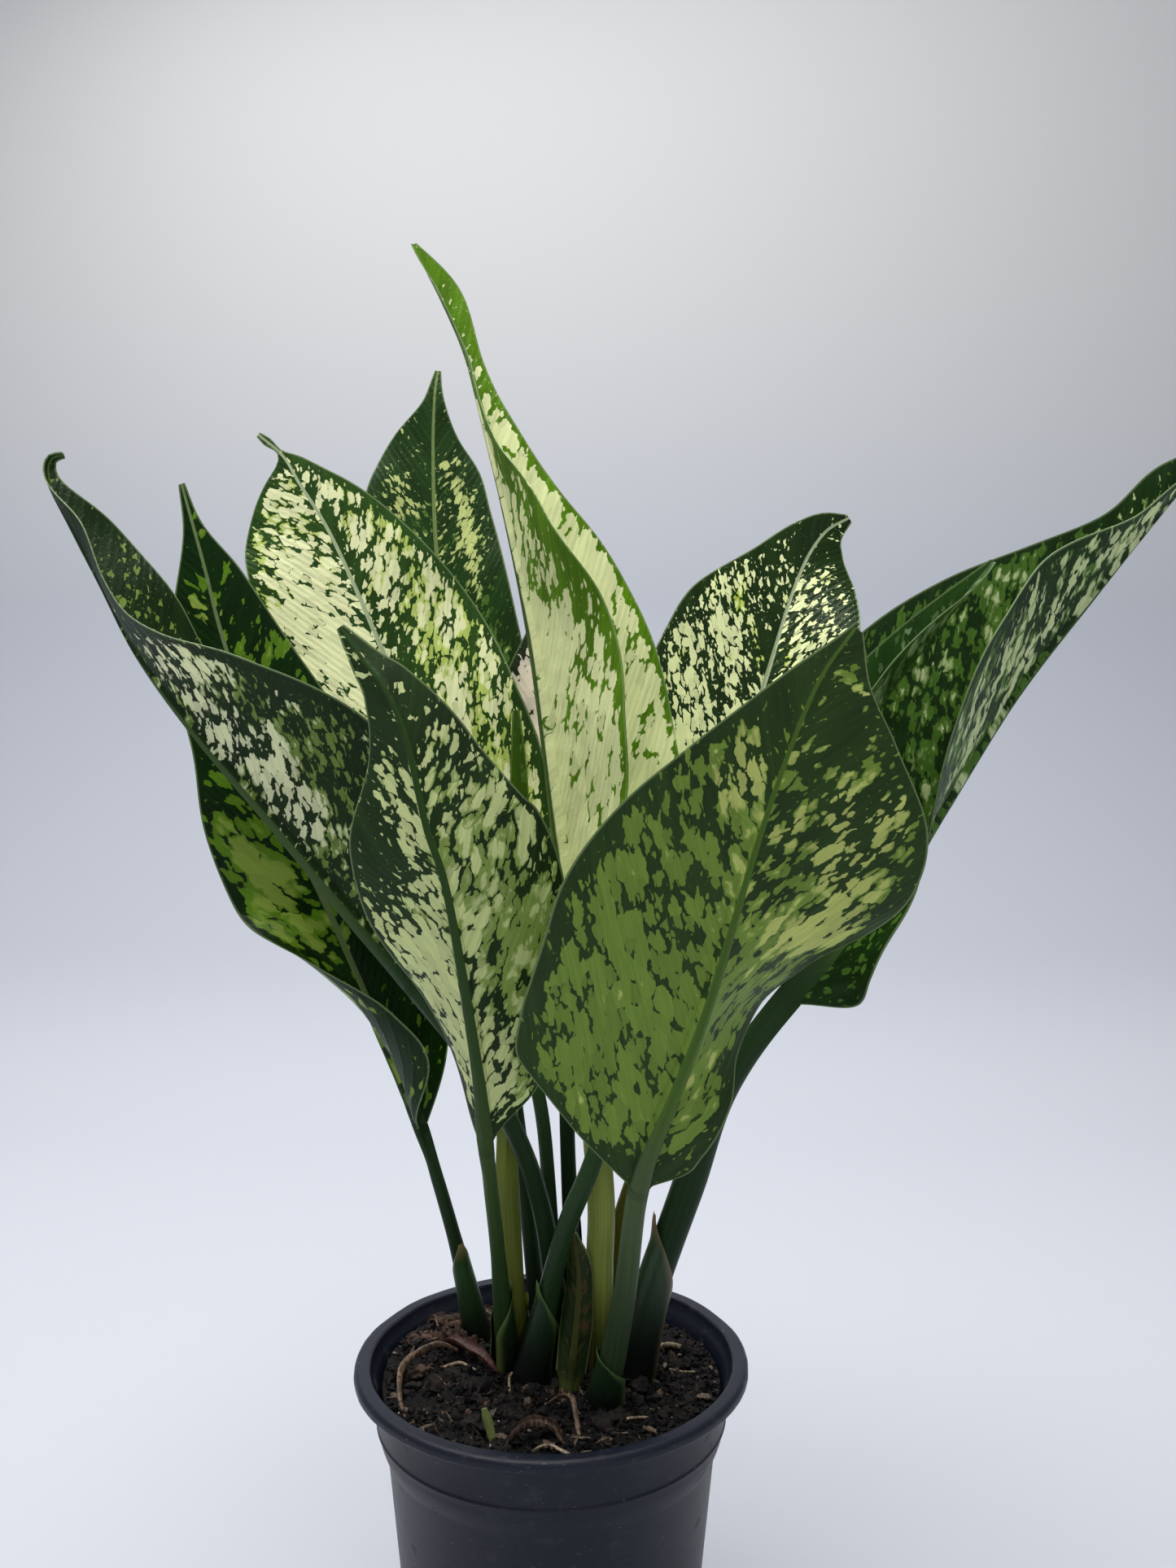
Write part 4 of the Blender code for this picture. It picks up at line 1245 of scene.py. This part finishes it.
def add_sheath(sheath):
    """A grid wrapped round the stalk, flared at its foot, leaning out at its tip, and given its thickness."""
    leaf = BY_NAME[sheath.leaf]
    line = LeafLine(leaf)
    facing = math.radians(sheath.facing)
    bm = bmesh.new()
    where = bm.verts.layers.float_vector.new("where")
    bmesh.ops.create_grid(bm, x_segments=SHEATH_ACROSS_STEPS, y_segments=SHEATH_UP_STEPS, size=0.5)
    for vert in bm.verts:
        across, along = 2 * vert.co.x, vert.co.y + 0.5
        share = SHEATH_START + (sheath.end - SHEATH_START) * along
        here, side, forward = line.frame(STALK_DEPTH + (line.blade_start - STALK_DEPTH) * share)
        radius = np.interp(share, [0, 0.5, 1], leaf.radii) * MM + SHEATH_STANDOFF
        flare = 1 + SHEATH_FOOT_FLARE * (1 - along) ** 2 + SHEATH_EDGE_FLARE * abs(across) ** 3 * (1 - along)
        turn = facing + across * sheath_half(sheath, along)
        out = side * math.cos(turn) + forward * math.sin(turn)
        lean = sheath.lean * MM * ease((along - SHEATH_LEAN_START) / SHEATH_LEAN_REACH)
        leaning = (side * math.cos(facing) + forward * math.sin(facing)) * lean
        vert.co = here + out * radius * flare + leaning
        vert[where] = (across, along, 0.0)
    bmesh.ops.solidify(bm, geom=bm.faces, thickness=SHEATH_THICKNESS)
    outward(bm)
    name = sheath.leaf + "_sheath"
    add_piece(name, bm, sheath_finish(name, *sheath.tones), "sheath")


def arc(centre, radius, start, stop, count):
    """Points round part of a circle in the profile's plane, with the angles in degrees."""
    turns = [math.radians(start + (stop - start) * k / count) for k in range(count + 1)]
    return [(centre[0] + radius * math.cos(a), centre[1] + radius * math.sin(a)) for a in turns]


def wall_radius(height):
    """Radius of the pot's outer wall at a height, below the rim."""
    heights = [0, POT_HEIGHT - SHOULDER_DEPTH, POT_HEIGHT - COLLAR_DEPTH, POT_HEIGHT - LIP_DEPTH]
    radii = [BASE_RADIUS, SHOULDER_RADIUS, COLLAR_FOOT_RADIUS, COLLAR_TOP_RADIUS]
    return float(np.interp(height, heights, radii))


def turned(profile, sides):
    """The profile's (radius, height) points spun about the pot's axis into a closed body."""
    bm = bmesh.new()
    verts = [bm.verts.new((radius, 0, height)) for radius, height in profile]
    edges = [bm.edges.new(pair) for pair in zip(verts[:-1], verts[1:])]
    bmesh.ops.spin(
        bm, geom=verts + edges, cent=(0, 0, 0), axis=(0, 0, 1), angle=2 * math.pi, steps=sides, use_merge=True
    )
    bmesh.ops.remove_doubles(bm, verts=bm.verts, dist=1e-6)
    return bm


def pot_outside():
    """The outline from the middle of the base up the wall, the collar and the rolled lip."""
    top, lip_foot = POT_HEIGHT, POT_HEIGHT - LIP_DEPTH
    collar_foot = top - COLLAR_DEPTH
    shoulder = top - SHOULDER_DEPTH
    step_radius = COLLAR_FOOT_RADIUS - COLLAR_STEP
    step_height = collar_foot - COLLAR_STEP_DEPTH
    shares = [k / SHOULDER_STEPS for k in range(SHOULDER_STEPS - 1, -1, -1)]
    narrowing = [(step_radius - SHOULDER_RADIUS) * share**SHOULDER_HOLLOW for share in shares]
    falling = [(step_height - shoulder) * share for share in shares]
    bead = COLLAR_BEAD / 2
    return [
        (0, 0),
        (BASE_RADIUS - BASE_ROUNDING, 0),
        *arc((BASE_RADIUS - BASE_ROUNDING, BASE_ROUNDING), BASE_ROUNDING, -75, -5, 5),
        *[(wall_radius(height), height) for height in WALL_HEIGHTS],
        (SHOULDER_RADIUS, shoulder),
        *[(step_radius - inward, step_height - down) for inward, down in zip(narrowing, falling)],
        *arc((COLLAR_FOOT_RADIUS - bead, collar_foot - bead), COLLAR_BEAD, -60, 60, 4),
        (COLLAR_FOOT_RADIUS, collar_foot + COLLAR_EASE),
        (COLLAR_TOP_RADIUS, lip_foot - COLLAR_EASE),
        (COLLAR_TOP_RADIUS + LIP_STEP, lip_foot - LIP_STEP_DEPTH),
        *arc((RIM_RADIUS - LIP_BEAD, lip_foot + LIP_BEAD), LIP_BEAD, -85, 0, 5),
        *arc((RIM_RADIUS - LIP_ROLL, top - LIP_ROLL), LIP_ROLL, 5, 90, 7),
        *arc((MOUTH_RADIUS + LIP_BEAD, top - LIP_BEAD), LIP_BEAD, 90, 180, 6),
    ]


def pot_inside():
    """The outline from the lip down the inside of the wall to the middle of the base."""
    lip_foot = POT_HEIGHT - LIP_DEPTH
    return [
        (COLLAR_TOP_RADIUS - WALL + MOUTH_EASE, lip_foot - MOUTH_EASE_START),
        (COLLAR_TOP_RADIUS - WALL, lip_foot - MOUTH_EASE_END),
        (COLLAR_FOOT_RADIUS - WALL, POT_HEIGHT - COLLAR_DEPTH),
        (SHOULDER_RADIUS - WALL, POT_HEIGHT - SHOULDER_DEPTH),
        (wall_radius(BASE_THICKNESS) - WALL, BASE_THICKNESS),
        (0, BASE_THICKNESS),
    ]


def add_pot():
    """The turned pot, with slight waves and dents in its lip, and holes through its base."""
    bm = turned(pot_outside() + pot_inside(), POT_SIDES)
    for vert in bm.verts:
        out = Vector((vert.co.x, vert.co.y, 0))
        if out.length > WAVED_FROM:
            x, y = out.normalized().xy
            high = ease((vert.co.z - (POT_HEIGHT - COLLAR_DEPTH)) / COLLAR_DEPTH)
            wave = noise.noise((LIP_WAVES * x, LIP_WAVES * y, 5.0))
            dent = noise.noise((LIP_DENTS * x, LIP_DENTS * y, LIP_DENT_FINENESS * vert.co.z))
            vert.co += out.normalized() * high * (LIP_WAVE * wave + LIP_DENT * dent)
            vert.co.z += high * LIP_RISE * wave * ease((vert.co.z - LIP_RISE_START) / LIP_RISE_REACH)
    outward(bm)
    drains = bmesh.new()
    for k in range(DRAIN_COUNT):
        turn = Matrix.Rotation(2 * math.pi * k / DRAIN_COUNT, 4, "Z")
        bmesh.ops.create_cone(
            drains, cap_ends=True, segments=DRAIN_SIDES, radius1=DRAIN_RADIUS, radius2=DRAIN_RADIUS,
            depth=6 * BASE_THICKNESS, matrix=turn @ Matrix.Translation((DRAIN_CIRCLE, 0, 0)),
        )
    cut_out(bm, drains)
    add_piece("pot_shell", bm, pot_finish(), "pot", "pot")


def cut_out(bm, cutter):
    """Takes the cutter's volume out of the mesh, and leaves neither helper behind."""
    meshes, objects = [], []
    for name, source in (("body", bm), ("cutter", cutter)):
        mesh = bpy.data.meshes.new(name)
        source.to_mesh(mesh)
        made = bpy.data.objects.new(name, mesh)
        bpy.context.scene.collection.objects.link(made)
        meshes.append(mesh)
        objects.append(made)
    modifier = objects[0].modifiers.new("cut", "BOOLEAN")
    modifier.object = objects[1]
    graph = bpy.context.evaluated_depsgraph_get()
    result = bpy.data.meshes.new_from_object(objects[0].evaluated_get(graph))
    bm.clear()
    bm.from_mesh(result)
    cutter.free()
    for made in objects:
        bpy.data.objects.remove(made)
    for mesh in [*meshes, result]:
        bpy.data.meshes.remove(mesh)


def roughness_at(place, rows):
    """The height that rows of lumps give at a place."""
    return sum(height * noise.noise(place * fineness + shift * UP) for height, fineness, shift in rows)


def soil_height(x, y):
    """The soil's surface: a low mound with lumps and hollows, lower along the pot's wall."""
    out = math.hypot(x, y) / SOIL_RADIUS
    place = Vector((x, y, 0))
    heap = HEAP_HEIGHT * math.exp(-((place - HEAP).length / HEAP_REACH) ** 2)
    mound = (SOIL_MOUND + roughness_at(place, SOIL_LUMPS)) * max(0.0, 1 - out**4)
    return SOIL_TOP + SOIL_FILL + mound + heap + roughness_at(place, SOIL_CRUMBS)


def add_soil_bed():
    """The body of the soil: turned to fit the pot, with its top drawn into crumbs."""
    gap = SOIL_GAP
    side = [
        (wall_radius(BASE_THICKNESS + gap) - WALL - gap, BASE_THICKNESS + gap),
        (SHOULDER_RADIUS - WALL - gap, POT_HEIGHT - SHOULDER_DEPTH),
        (COLLAR_FOOT_RADIUS - WALL - gap, POT_HEIGHT - COLLAR_DEPTH),
        (wall_radius(SOIL_TOP) - WALL - gap, SOIL_TOP - SOIL_EDGE),
    ]
    rim = side[-1][0]
    top = [(rim * k / SOIL_RINGS, SOIL_TOP) for k in range(SOIL_RINGS - 1, -1, -1)]
    bm = turned([(0, BASE_THICKNESS + gap), *side, *top], SOIL_SIDES)
    for vert in bm.verts:
        if vert.co.z > SOIL_TOP - 1e-5:
            vert.co.z = soil_height(vert.co.x, vert.co.y)
    outward(bm)
    add_piece("soil_bed", bm, soil_finish("peat", (4, 3, 5), (22, 18, 17), 1.0), "soil", "soil")


class Crumbs(NamedTuple):
    """One kind of crumb: how many, the least and the greatest size, how rough, how often the mesh is
    divided, the finish, the seed, the middle and reach of the heap they lie in (none is the whole of the
    soil), and the least breadth and height as shares of the length."""

    name: str
    count: int
    sizes: tuple
    rough: float
    steps: int
    finish: str
    seed: int
    heap: tuple = ()
    flat: tuple = (0.6, 0.45)


CRUMBS = (
    Crumbs("clods", 95, (0.0020, 0.0040), 0.85, 3, "dark_crumbs", 4),
    Crumbs("crumbs", 560, (0.0010, 0.0022), 0.85, 2, "dark_crumbs", 5),
    Crumbs("granules", 2600, (0.0004, 0.0013), 0.7, 1, "dark_crumbs", 11),
    Crumbs("granules_right", 700, (0.0006, 0.0013), 0.5, 1, "dark_crumbs", 12, (0.026, -0.026, 0.011)),
    Crumbs("brown_clods", 95, (0.0011, 0.0040), 0.8, 3, "brown_crumbs", 21, (-0.032, 0.020, 0.008)),
    Crumbs("brown_grains", 420, (0.0004, 0.0012), 0.45, 1, "brown_crumbs", 23),
    Crumbs("white_grains", 46, (0.0003, 0.0007), 0.3, 2, "perlite", 31),
    Crumbs("chips", 240, (0.0010, 0.0030), 0.5, 2, "bark_chips", 41, (), (0.4, 0.12)),
    Crumbs("fibres", 150, (0.0012, 0.0032), 0.5, 2, "bark_chips", 43, (), (0.12, 0.1)),
)
FEET = [((leaf.stalk[0][0] * MM, leaf.stalk[0][1] * MM), leaf.radii[0] * MM) for leaf in LEAVES]


def crumb_shapes(crumbs):
    """A few lumps of soil, each its own small mesh, from which all the crumbs are copied."""
    shapes = []
    for k in range(CRUMB_SHAPES):
        bm = bmesh.new()
        bmesh.ops.create_icosphere(bm, subdivisions=crumbs.steps, radius=1.0)
        for vert in bm.verts:
            lump = noise.noise(vert.co * CRUMB_LUMP_FINENESS + Vector((crumbs.seed + 3.1 * k, 0, 0)))
            grain = noise.noise(vert.co * CRUMB_GRAIN_FINENESS + Vector((0, crumbs.seed + 5.3 * k, 0)))
            vert.co *= 1 + crumbs.rough * (lump + CRUMB_GRAIN_SHARE * grain)
        mesh = bpy.data.meshes.new("crumb")
        bm.to_mesh(mesh)
        bm.free()
        shapes.append(mesh)
    return shapes


def crumb_place(draw, heap):
    """A place drawn round the middle of a heap, or anywhere on the soil."""
    if heap:
        x, y, reach = heap
        return draw.gauss(x, reach), draw.gauss(y, reach)
    out, turn = SOIL_RADIUS * math.sqrt(draw.random()), draw.uniform(0, 2 * math.pi)
    return out * math.cos(turn), out * math.sin(turn)


def clear_of_stalks(x, y, size):
    gap = CRUMB_CLEARANCE * size
    return all(math.hypot(x - foot[0], y - foot[1]) > reach + gap for foot, reach in FEET)


def add_crumbs(crumbs, finish):
    """Crumbs strewn over the soil, inside the pot and off the stalks."""
    draw = random.Random(crumbs.seed)
    shapes = crumb_shapes(crumbs)
    least, most = crumbs.sizes
    breadth, height = crumbs.flat
    bm = bmesh.new()
    for _ in range(crumbs.count):
        x, y = crumb_place(draw, crumbs.heap)
        size = least + (most - least) * draw.random() ** CRUMB_SMALLNESS
        turn = Matrix.Rotation(draw.uniform(0, 2 * math.pi), 4, draw.choice("XYZ"))
        spin = Matrix.Rotation(draw.uniform(0, 2 * math.pi), 4, "Z")
        broad = draw.uniform(breadth, CRUMB_BREADTH_SPREAD * breadth)
        high = draw.uniform(height, CRUMB_HEIGHT_SPREAD * height)
        mesh = draw.choice(shapes)
        if math.hypot(x, y) > SOIL_RADIUS - size or not clear_of_stalks(x, y, size):
            continue

        lift = size * draw.uniform(CRUMB_SINK, CRUMB_RISE)
        middle = Matrix.Translation((x, y, soil_height(x, y) + lift))
        pose = middle @ spin @ turn @ Matrix.Diagonal((1.0, broad, high, 1.0)) @ Matrix.Scale(size, 4)
        mesh.transform(pose)
        bm.from_mesh(mesh)
        mesh.transform(pose.inverted())
    for mesh in shapes:
        bpy.data.meshes.remove(mesh)
    add_piece(crumbs.name, bm, finish, "soil")


class Strip(NamedTuple):
    """A dried strip that lies on the soil: its points in millimetres (the height is above the soil's level),
    its half widths along it, how far it curls across and between which angles it twists, in degrees, and its
    dark and pale tones."""

    name: str
    points: tuple
    widths: tuple
    curl: float
    twist: tuple
    tones: tuple


STRIPS = (
    Strip(
        "dried_leaf_red", ((-36, 4, 3.0), (-31, 3, 4.5), (-26, 1, 4.5), (-21, -2, 3.5), (-16.5, -4.5, 1.5)),
        (0.8, 2.4, 3.0, 2.0, 0.5), 80, (-20, 30), ((44, 22, 18), (92, 54, 44)),
    ),
    Strip(
        "dried_leaf_tan",
        (
            (-29, 0, 3.5), (-35, -1, 6.0), (-41, -4.5, 6.0), (-44, -10, 4.5), (-43.5, -18, 2.5),
            (-41, -26, 0.5),
        ),
        (0.6, 1.5, 1.9, 2.3, 1.8, 0.6), 110, (40, 130), ((36, 26, 20), (122, 94, 68)),
    ),
    Strip(
        "withered_strip",
        ((-1, -22, 1.5), (4, -23, 4.5), (7, -26, 5.5), (8, -30, 4.5), (9, -35, 2.5), (9, -39, 0.5)),
        (0.5, 1.0, 1.2, 1.4, 1.6, 1.0), 90, (0, 100), ((40, 30, 24), (124, 98, 74)),
    ),
    Strip(
        "curled_brown", ((-11, -41, 0.5), (-8, -40, 3.0), (-4, -39, 3.8), (1, -39, 3.0), (4, -40, 0.8)),
        (0.8, 2.6, 3.2, 2.6, 0.6), 120, (-30, 40), ((46, 32, 26), (116, 90, 74)),
    ),
    Strip(
        "pale_root", ((-4, -44, 1.2), (0, -43.5, 2.2), (4, -45, 1.6), (9, -47, 0.6)),
        (0.25, 0.4, 0.4, 0.2), 60, (0, 60), ((130, 112, 92), (184, 168, 144)),
    ),
    Strip(
        "curled_bit", ((-30, 30, 1.5), (-26, 31, 3.5), (-21, 29, 3.0), (-18, 27, 1.0)),
        (0.6, 1.6, 1.8, 0.5), 90, (0, 60), ((58, 44, 38), (120, 100, 86)),
    ),
    Strip(
        "curled_bit_left", ((-42, 22, 1.0), (-40, 21, 3.5), (-38, 18, 4.0), (-37, 15, 2.5)),
        (0.5, 1.0, 1.1, 0.4), 90, (30, 120), ((66, 52, 44), (138, 116, 98)),
    ),
)

# Each stick: three points, given as a strip's are, and its radius in millimetres
STICKS = (
    ((33, 12, 1.5), (37, 11, 2.2), (42, 11.5, 1.2), 0.75),
    ((30, 5, 2.8), (30, 0, 1.2), (31, -3, 0.4), 0.7),
    ((-12, -6.5, 2.2), (-12.5, -11, 3.2), (-12, -16, 0.6), 0.4),
    ((36, -2, 0.8), (40, -3, 1.2), (44, -2, 0.8), 0.35),
    ((-33, -2, 1.0), (-28, -3, 2.2), (-23, -5, 0.8), 0.5),
    ((22, -31, 0.8), (26, -30, 2.0), (29, -29, 0.6), 0.4),
)


def soil_place(point):
    """The place of a point given in millimetres, with its height above the soil under it."""
    x, y, height = [value * MM for value in point]
    return np.array((x, y, soil_height(x, y) + height))


def along_line(line, share, reach):
    """The place at a share of a line, and the line's direction, read a little to each side of it."""
    stations = np.linspace(0, 1, len(line))
    places = []
    for at in (share - reach, share, share + reach):
        places.append(Vector([np.interp(at, stations, line[:, k]) for k in range(3)]))
    back, here, ahead = places
    return here, (ahead - back).normalized()


def add_strip(strip):
    """A grid bent along the strip's line, curled across it and given its thickness."""
    line = smooth_line([soil_place(point) for point in strip.points])
    width_stations = np.linspace(0, 1, len(strip.widths))
    curl = math.radians(strip.curl)
    bm = bmesh.new()
    bmesh.ops.create_grid(bm, x_segments=STRIP_ACROSS_STEPS, y_segments=len(line) - 1, size=0.5)
    for vert in bm.verts:
        across, along = 2 * vert.co.x, vert.co.y + 0.5
        here, tangent = along_line(line, along, STRIP_TANGENT_REACH)
        side = tangent.cross(UP).normalized()
        side.rotate(Matrix.Rotation(math.radians(np.interp(along, [0, 1], strip.twist)), 3, tangent))
        half = np.interp(along, width_stations, strip.widths) * MM
        crinkle = STRIP_CRINKLE * noise.noise((across * 1.5, along * 9, len(strip.name)))
        out = half * math.sin(curl * across) / max(STRIP_LEAST_CURL, curl)
        over = half * (1 - math.cos(curl * across)) / curl + crinkle
        vert.co = here + side * out + side.cross(tangent) * over
    bmesh.ops.solidify(bm, geom=bm.faces, thickness=STRIP_THICKNESS)
    outward(bm)
    add_piece(strip.name, bm, dried_finish(strip.name, *strip.tones), "soil")


def add_sticks():
    """Short pale stems and roots among the crumbs: grids rolled into tubes along bent lines."""
    finish = dried_finish("pale_wood", (96, 80, 60), (166, 148, 118))
    for number, (*points, thick) in enumerate(STICKS):
        line = smooth_line([soil_place(point) for point in points])
        bm = bmesh.new()
        bmesh.ops.create_grid(bm, x_segments=STICK_SIDES, y_segments=STICK_STEPS, size=0.5)
        for vert in bm.verts:
            turn, along = 2 * math.pi * vert.co.x, vert.co.y + 0.5
            here, tangent = along_line(line, along, STICK_TANGENT_REACH)
            side = tangent.cross(UP).normalized()
            lump = noise.noise((along * 5, number, math.cos(turn)))
            out = side * math.cos(turn) + side.cross(tangent) * math.sin(turn)
            vert.co = here + out * thick * MM * (1 + STICK_LUMPS * lump)
        bmesh.ops.remove_doubles(bm, verts=bm.verts, dist=1e-6)
        bmesh.ops.holes_fill(bm, edges=bm.edges, sides=STICK_SIDES)
        outward(bm)
        add_piece(f"stick_{number + 1}", bm, finish, "soil")


def add_soil():
    """The body of the soil, with the loose crumbs, strips and sticks that lie on it."""
    add_soil_bed()
    finishes = {
        "dark_crumbs": soil_finish("dark_crumbs", (6, 5, 7), (44, 38, 36), 2.0),
        "brown_crumbs": soil_finish("brown_crumbs", (42, 31, 27), (102, 80, 68), 3.0),
        "perlite": soil_finish("perlite", (150, 146, 138), (190, 186, 178), 4.0),
        "bark_chips": dried_finish("bark_chips", (40, 30, 24), (112, 92, 72)),
    }
    for crumbs in CRUMBS:
        add_crumbs(crumbs, finishes[crumbs.finish])
    for strip in STRIPS:
        add_strip(strip)
    add_sticks()


def stage_finish():
    """A pale sweep with painted shading: a cool light grey on the floor, a little darker (painted shade) and
    then more neutral up the wall.
    """
    paint = Paint("pale_sweep", 0.9)
    _, _, height = paint.split(paint.place())
    low, middle, high = [colour_of(tone) for tone in STAGE_SHADING_TONES]
    # painted shading: the floor's tone, then darker low on the wall, then the high wall's tone
    colour = paint.mix(paint.step(height, 0.0, 0.12), low, middle)
    paint.dress(paint.mix(paint.step(height, 0.35, 0.9), colour, high))
    return paint.finish


def add_stage():
    """A floor that sweeps up into a wall behind the plant."""
    bm = bmesh.new()
    sweep_line = arc((WALL_BACK - SWEEP_RADIUS, SWEEP_RADIUS), SWEEP_RADIUS, -90, 0, SWEEP_STEPS)
    outline = [(FLOOR_FRONT, 0), *sweep_line, (WALL_BACK, WALL_TOP)]
    verts = [bm.verts.new((-STAGE_HALF_WIDTH, y, z)) for y, z in outline]
    edges = [bm.edges.new(pair) for pair in zip(verts[:-1], verts[1:])]
    made = bmesh.ops.extrude_edge_only(bm, edges=edges)
    moved = [item for item in made["geom"] if isinstance(item, bmesh.types.BMVert)]
    bmesh.ops.translate(bm, vec=(2 * STAGE_HALF_WIDTH, 0, 0), verts=moved)
    bmesh.ops.recalc_face_normals(bm, faces=bm.faces)
    mesh = bpy.data.meshes.new("sweep")
    bm.to_mesh(mesh)
    bm.free()
    mesh.shade_smooth()
    mesh.materials.append(stage_finish())
    sweep = bpy.data.objects.new("sweep", mesh)
    bpy.context.scene.collection.objects.link(sweep)


def add_light(name, place, target, size, power, tone):
    """A rectangular lamp that faces its target. The power is in watts."""
    light = bpy.data.lights.new(name, "AREA")
    light.shape = "RECTANGLE"
    light.size, light.size_y = size
    light.energy = power
    light.color = tone
    lamp = bpy.data.objects.new(name, light)
    lamp.location = place
    lamp.rotation_euler = (Vector(target) - Vector(place)).to_track_quat("-Z", "Y").to_euler()
    bpy.context.scene.collection.objects.link(lamp)


def add_lights():
    add_light("overhead", (-0.2, 0.05, 1.45), (0, 0, 0.3), (1.3, 1.1), 28, (1.0, 0.99, 0.96))
    add_light("front_fill", (0.3, -1.7, 0.9), (0, 0, 0.25), (1.8, 1.4), 2.5, (0.98, 0.99, 1.0))
    add_light("wall_wash", (0.0, 0.35, 1.9), (0, 1.0, 0.3), (2.0, 0.5), 8, (1.0, 1.0, 1.0))
    world = bpy.data.worlds.new("soft_room")
    bpy.context.scene.world = world
    world.use_nodes = True
    background = world.node_tree.nodes["Background"]
    background.inputs["Color"].default_value = ROOM_TONE
    background.inputs["Strength"].default_value = ROOM_STRENGTH


def add_camera():
    """A level camera that looks along the Y axis."""
    lens = bpy.data.cameras.new("camera")
    lens.sensor_fit = "AUTO"
    lens.sensor_width = SENSOR
    lens.lens = SENSOR * FOCAL_PIXELS / PHOTO_HEIGHT
    lens.clip_start = CAMERA_NEAREST
    camera = bpy.data.objects.new("camera", lens)
    camera.location = CAMERA_PLACE
    camera.rotation_euler = (math.pi / 2, 0, 0)
    bpy.context.scene.collection.objects.link(camera)
    bpy.context.scene.camera = camera


def main():
    bpy.context.scene.view_settings.view_transform = "Standard"
    add_camera()
    add_lights()
    add_stage()
    add_pot()
    add_soil()
    for leaf in LEAVES:
        add_leaf(leaf)
    for sheath in SHEATHS:
        add_sheath(sheath)


main()
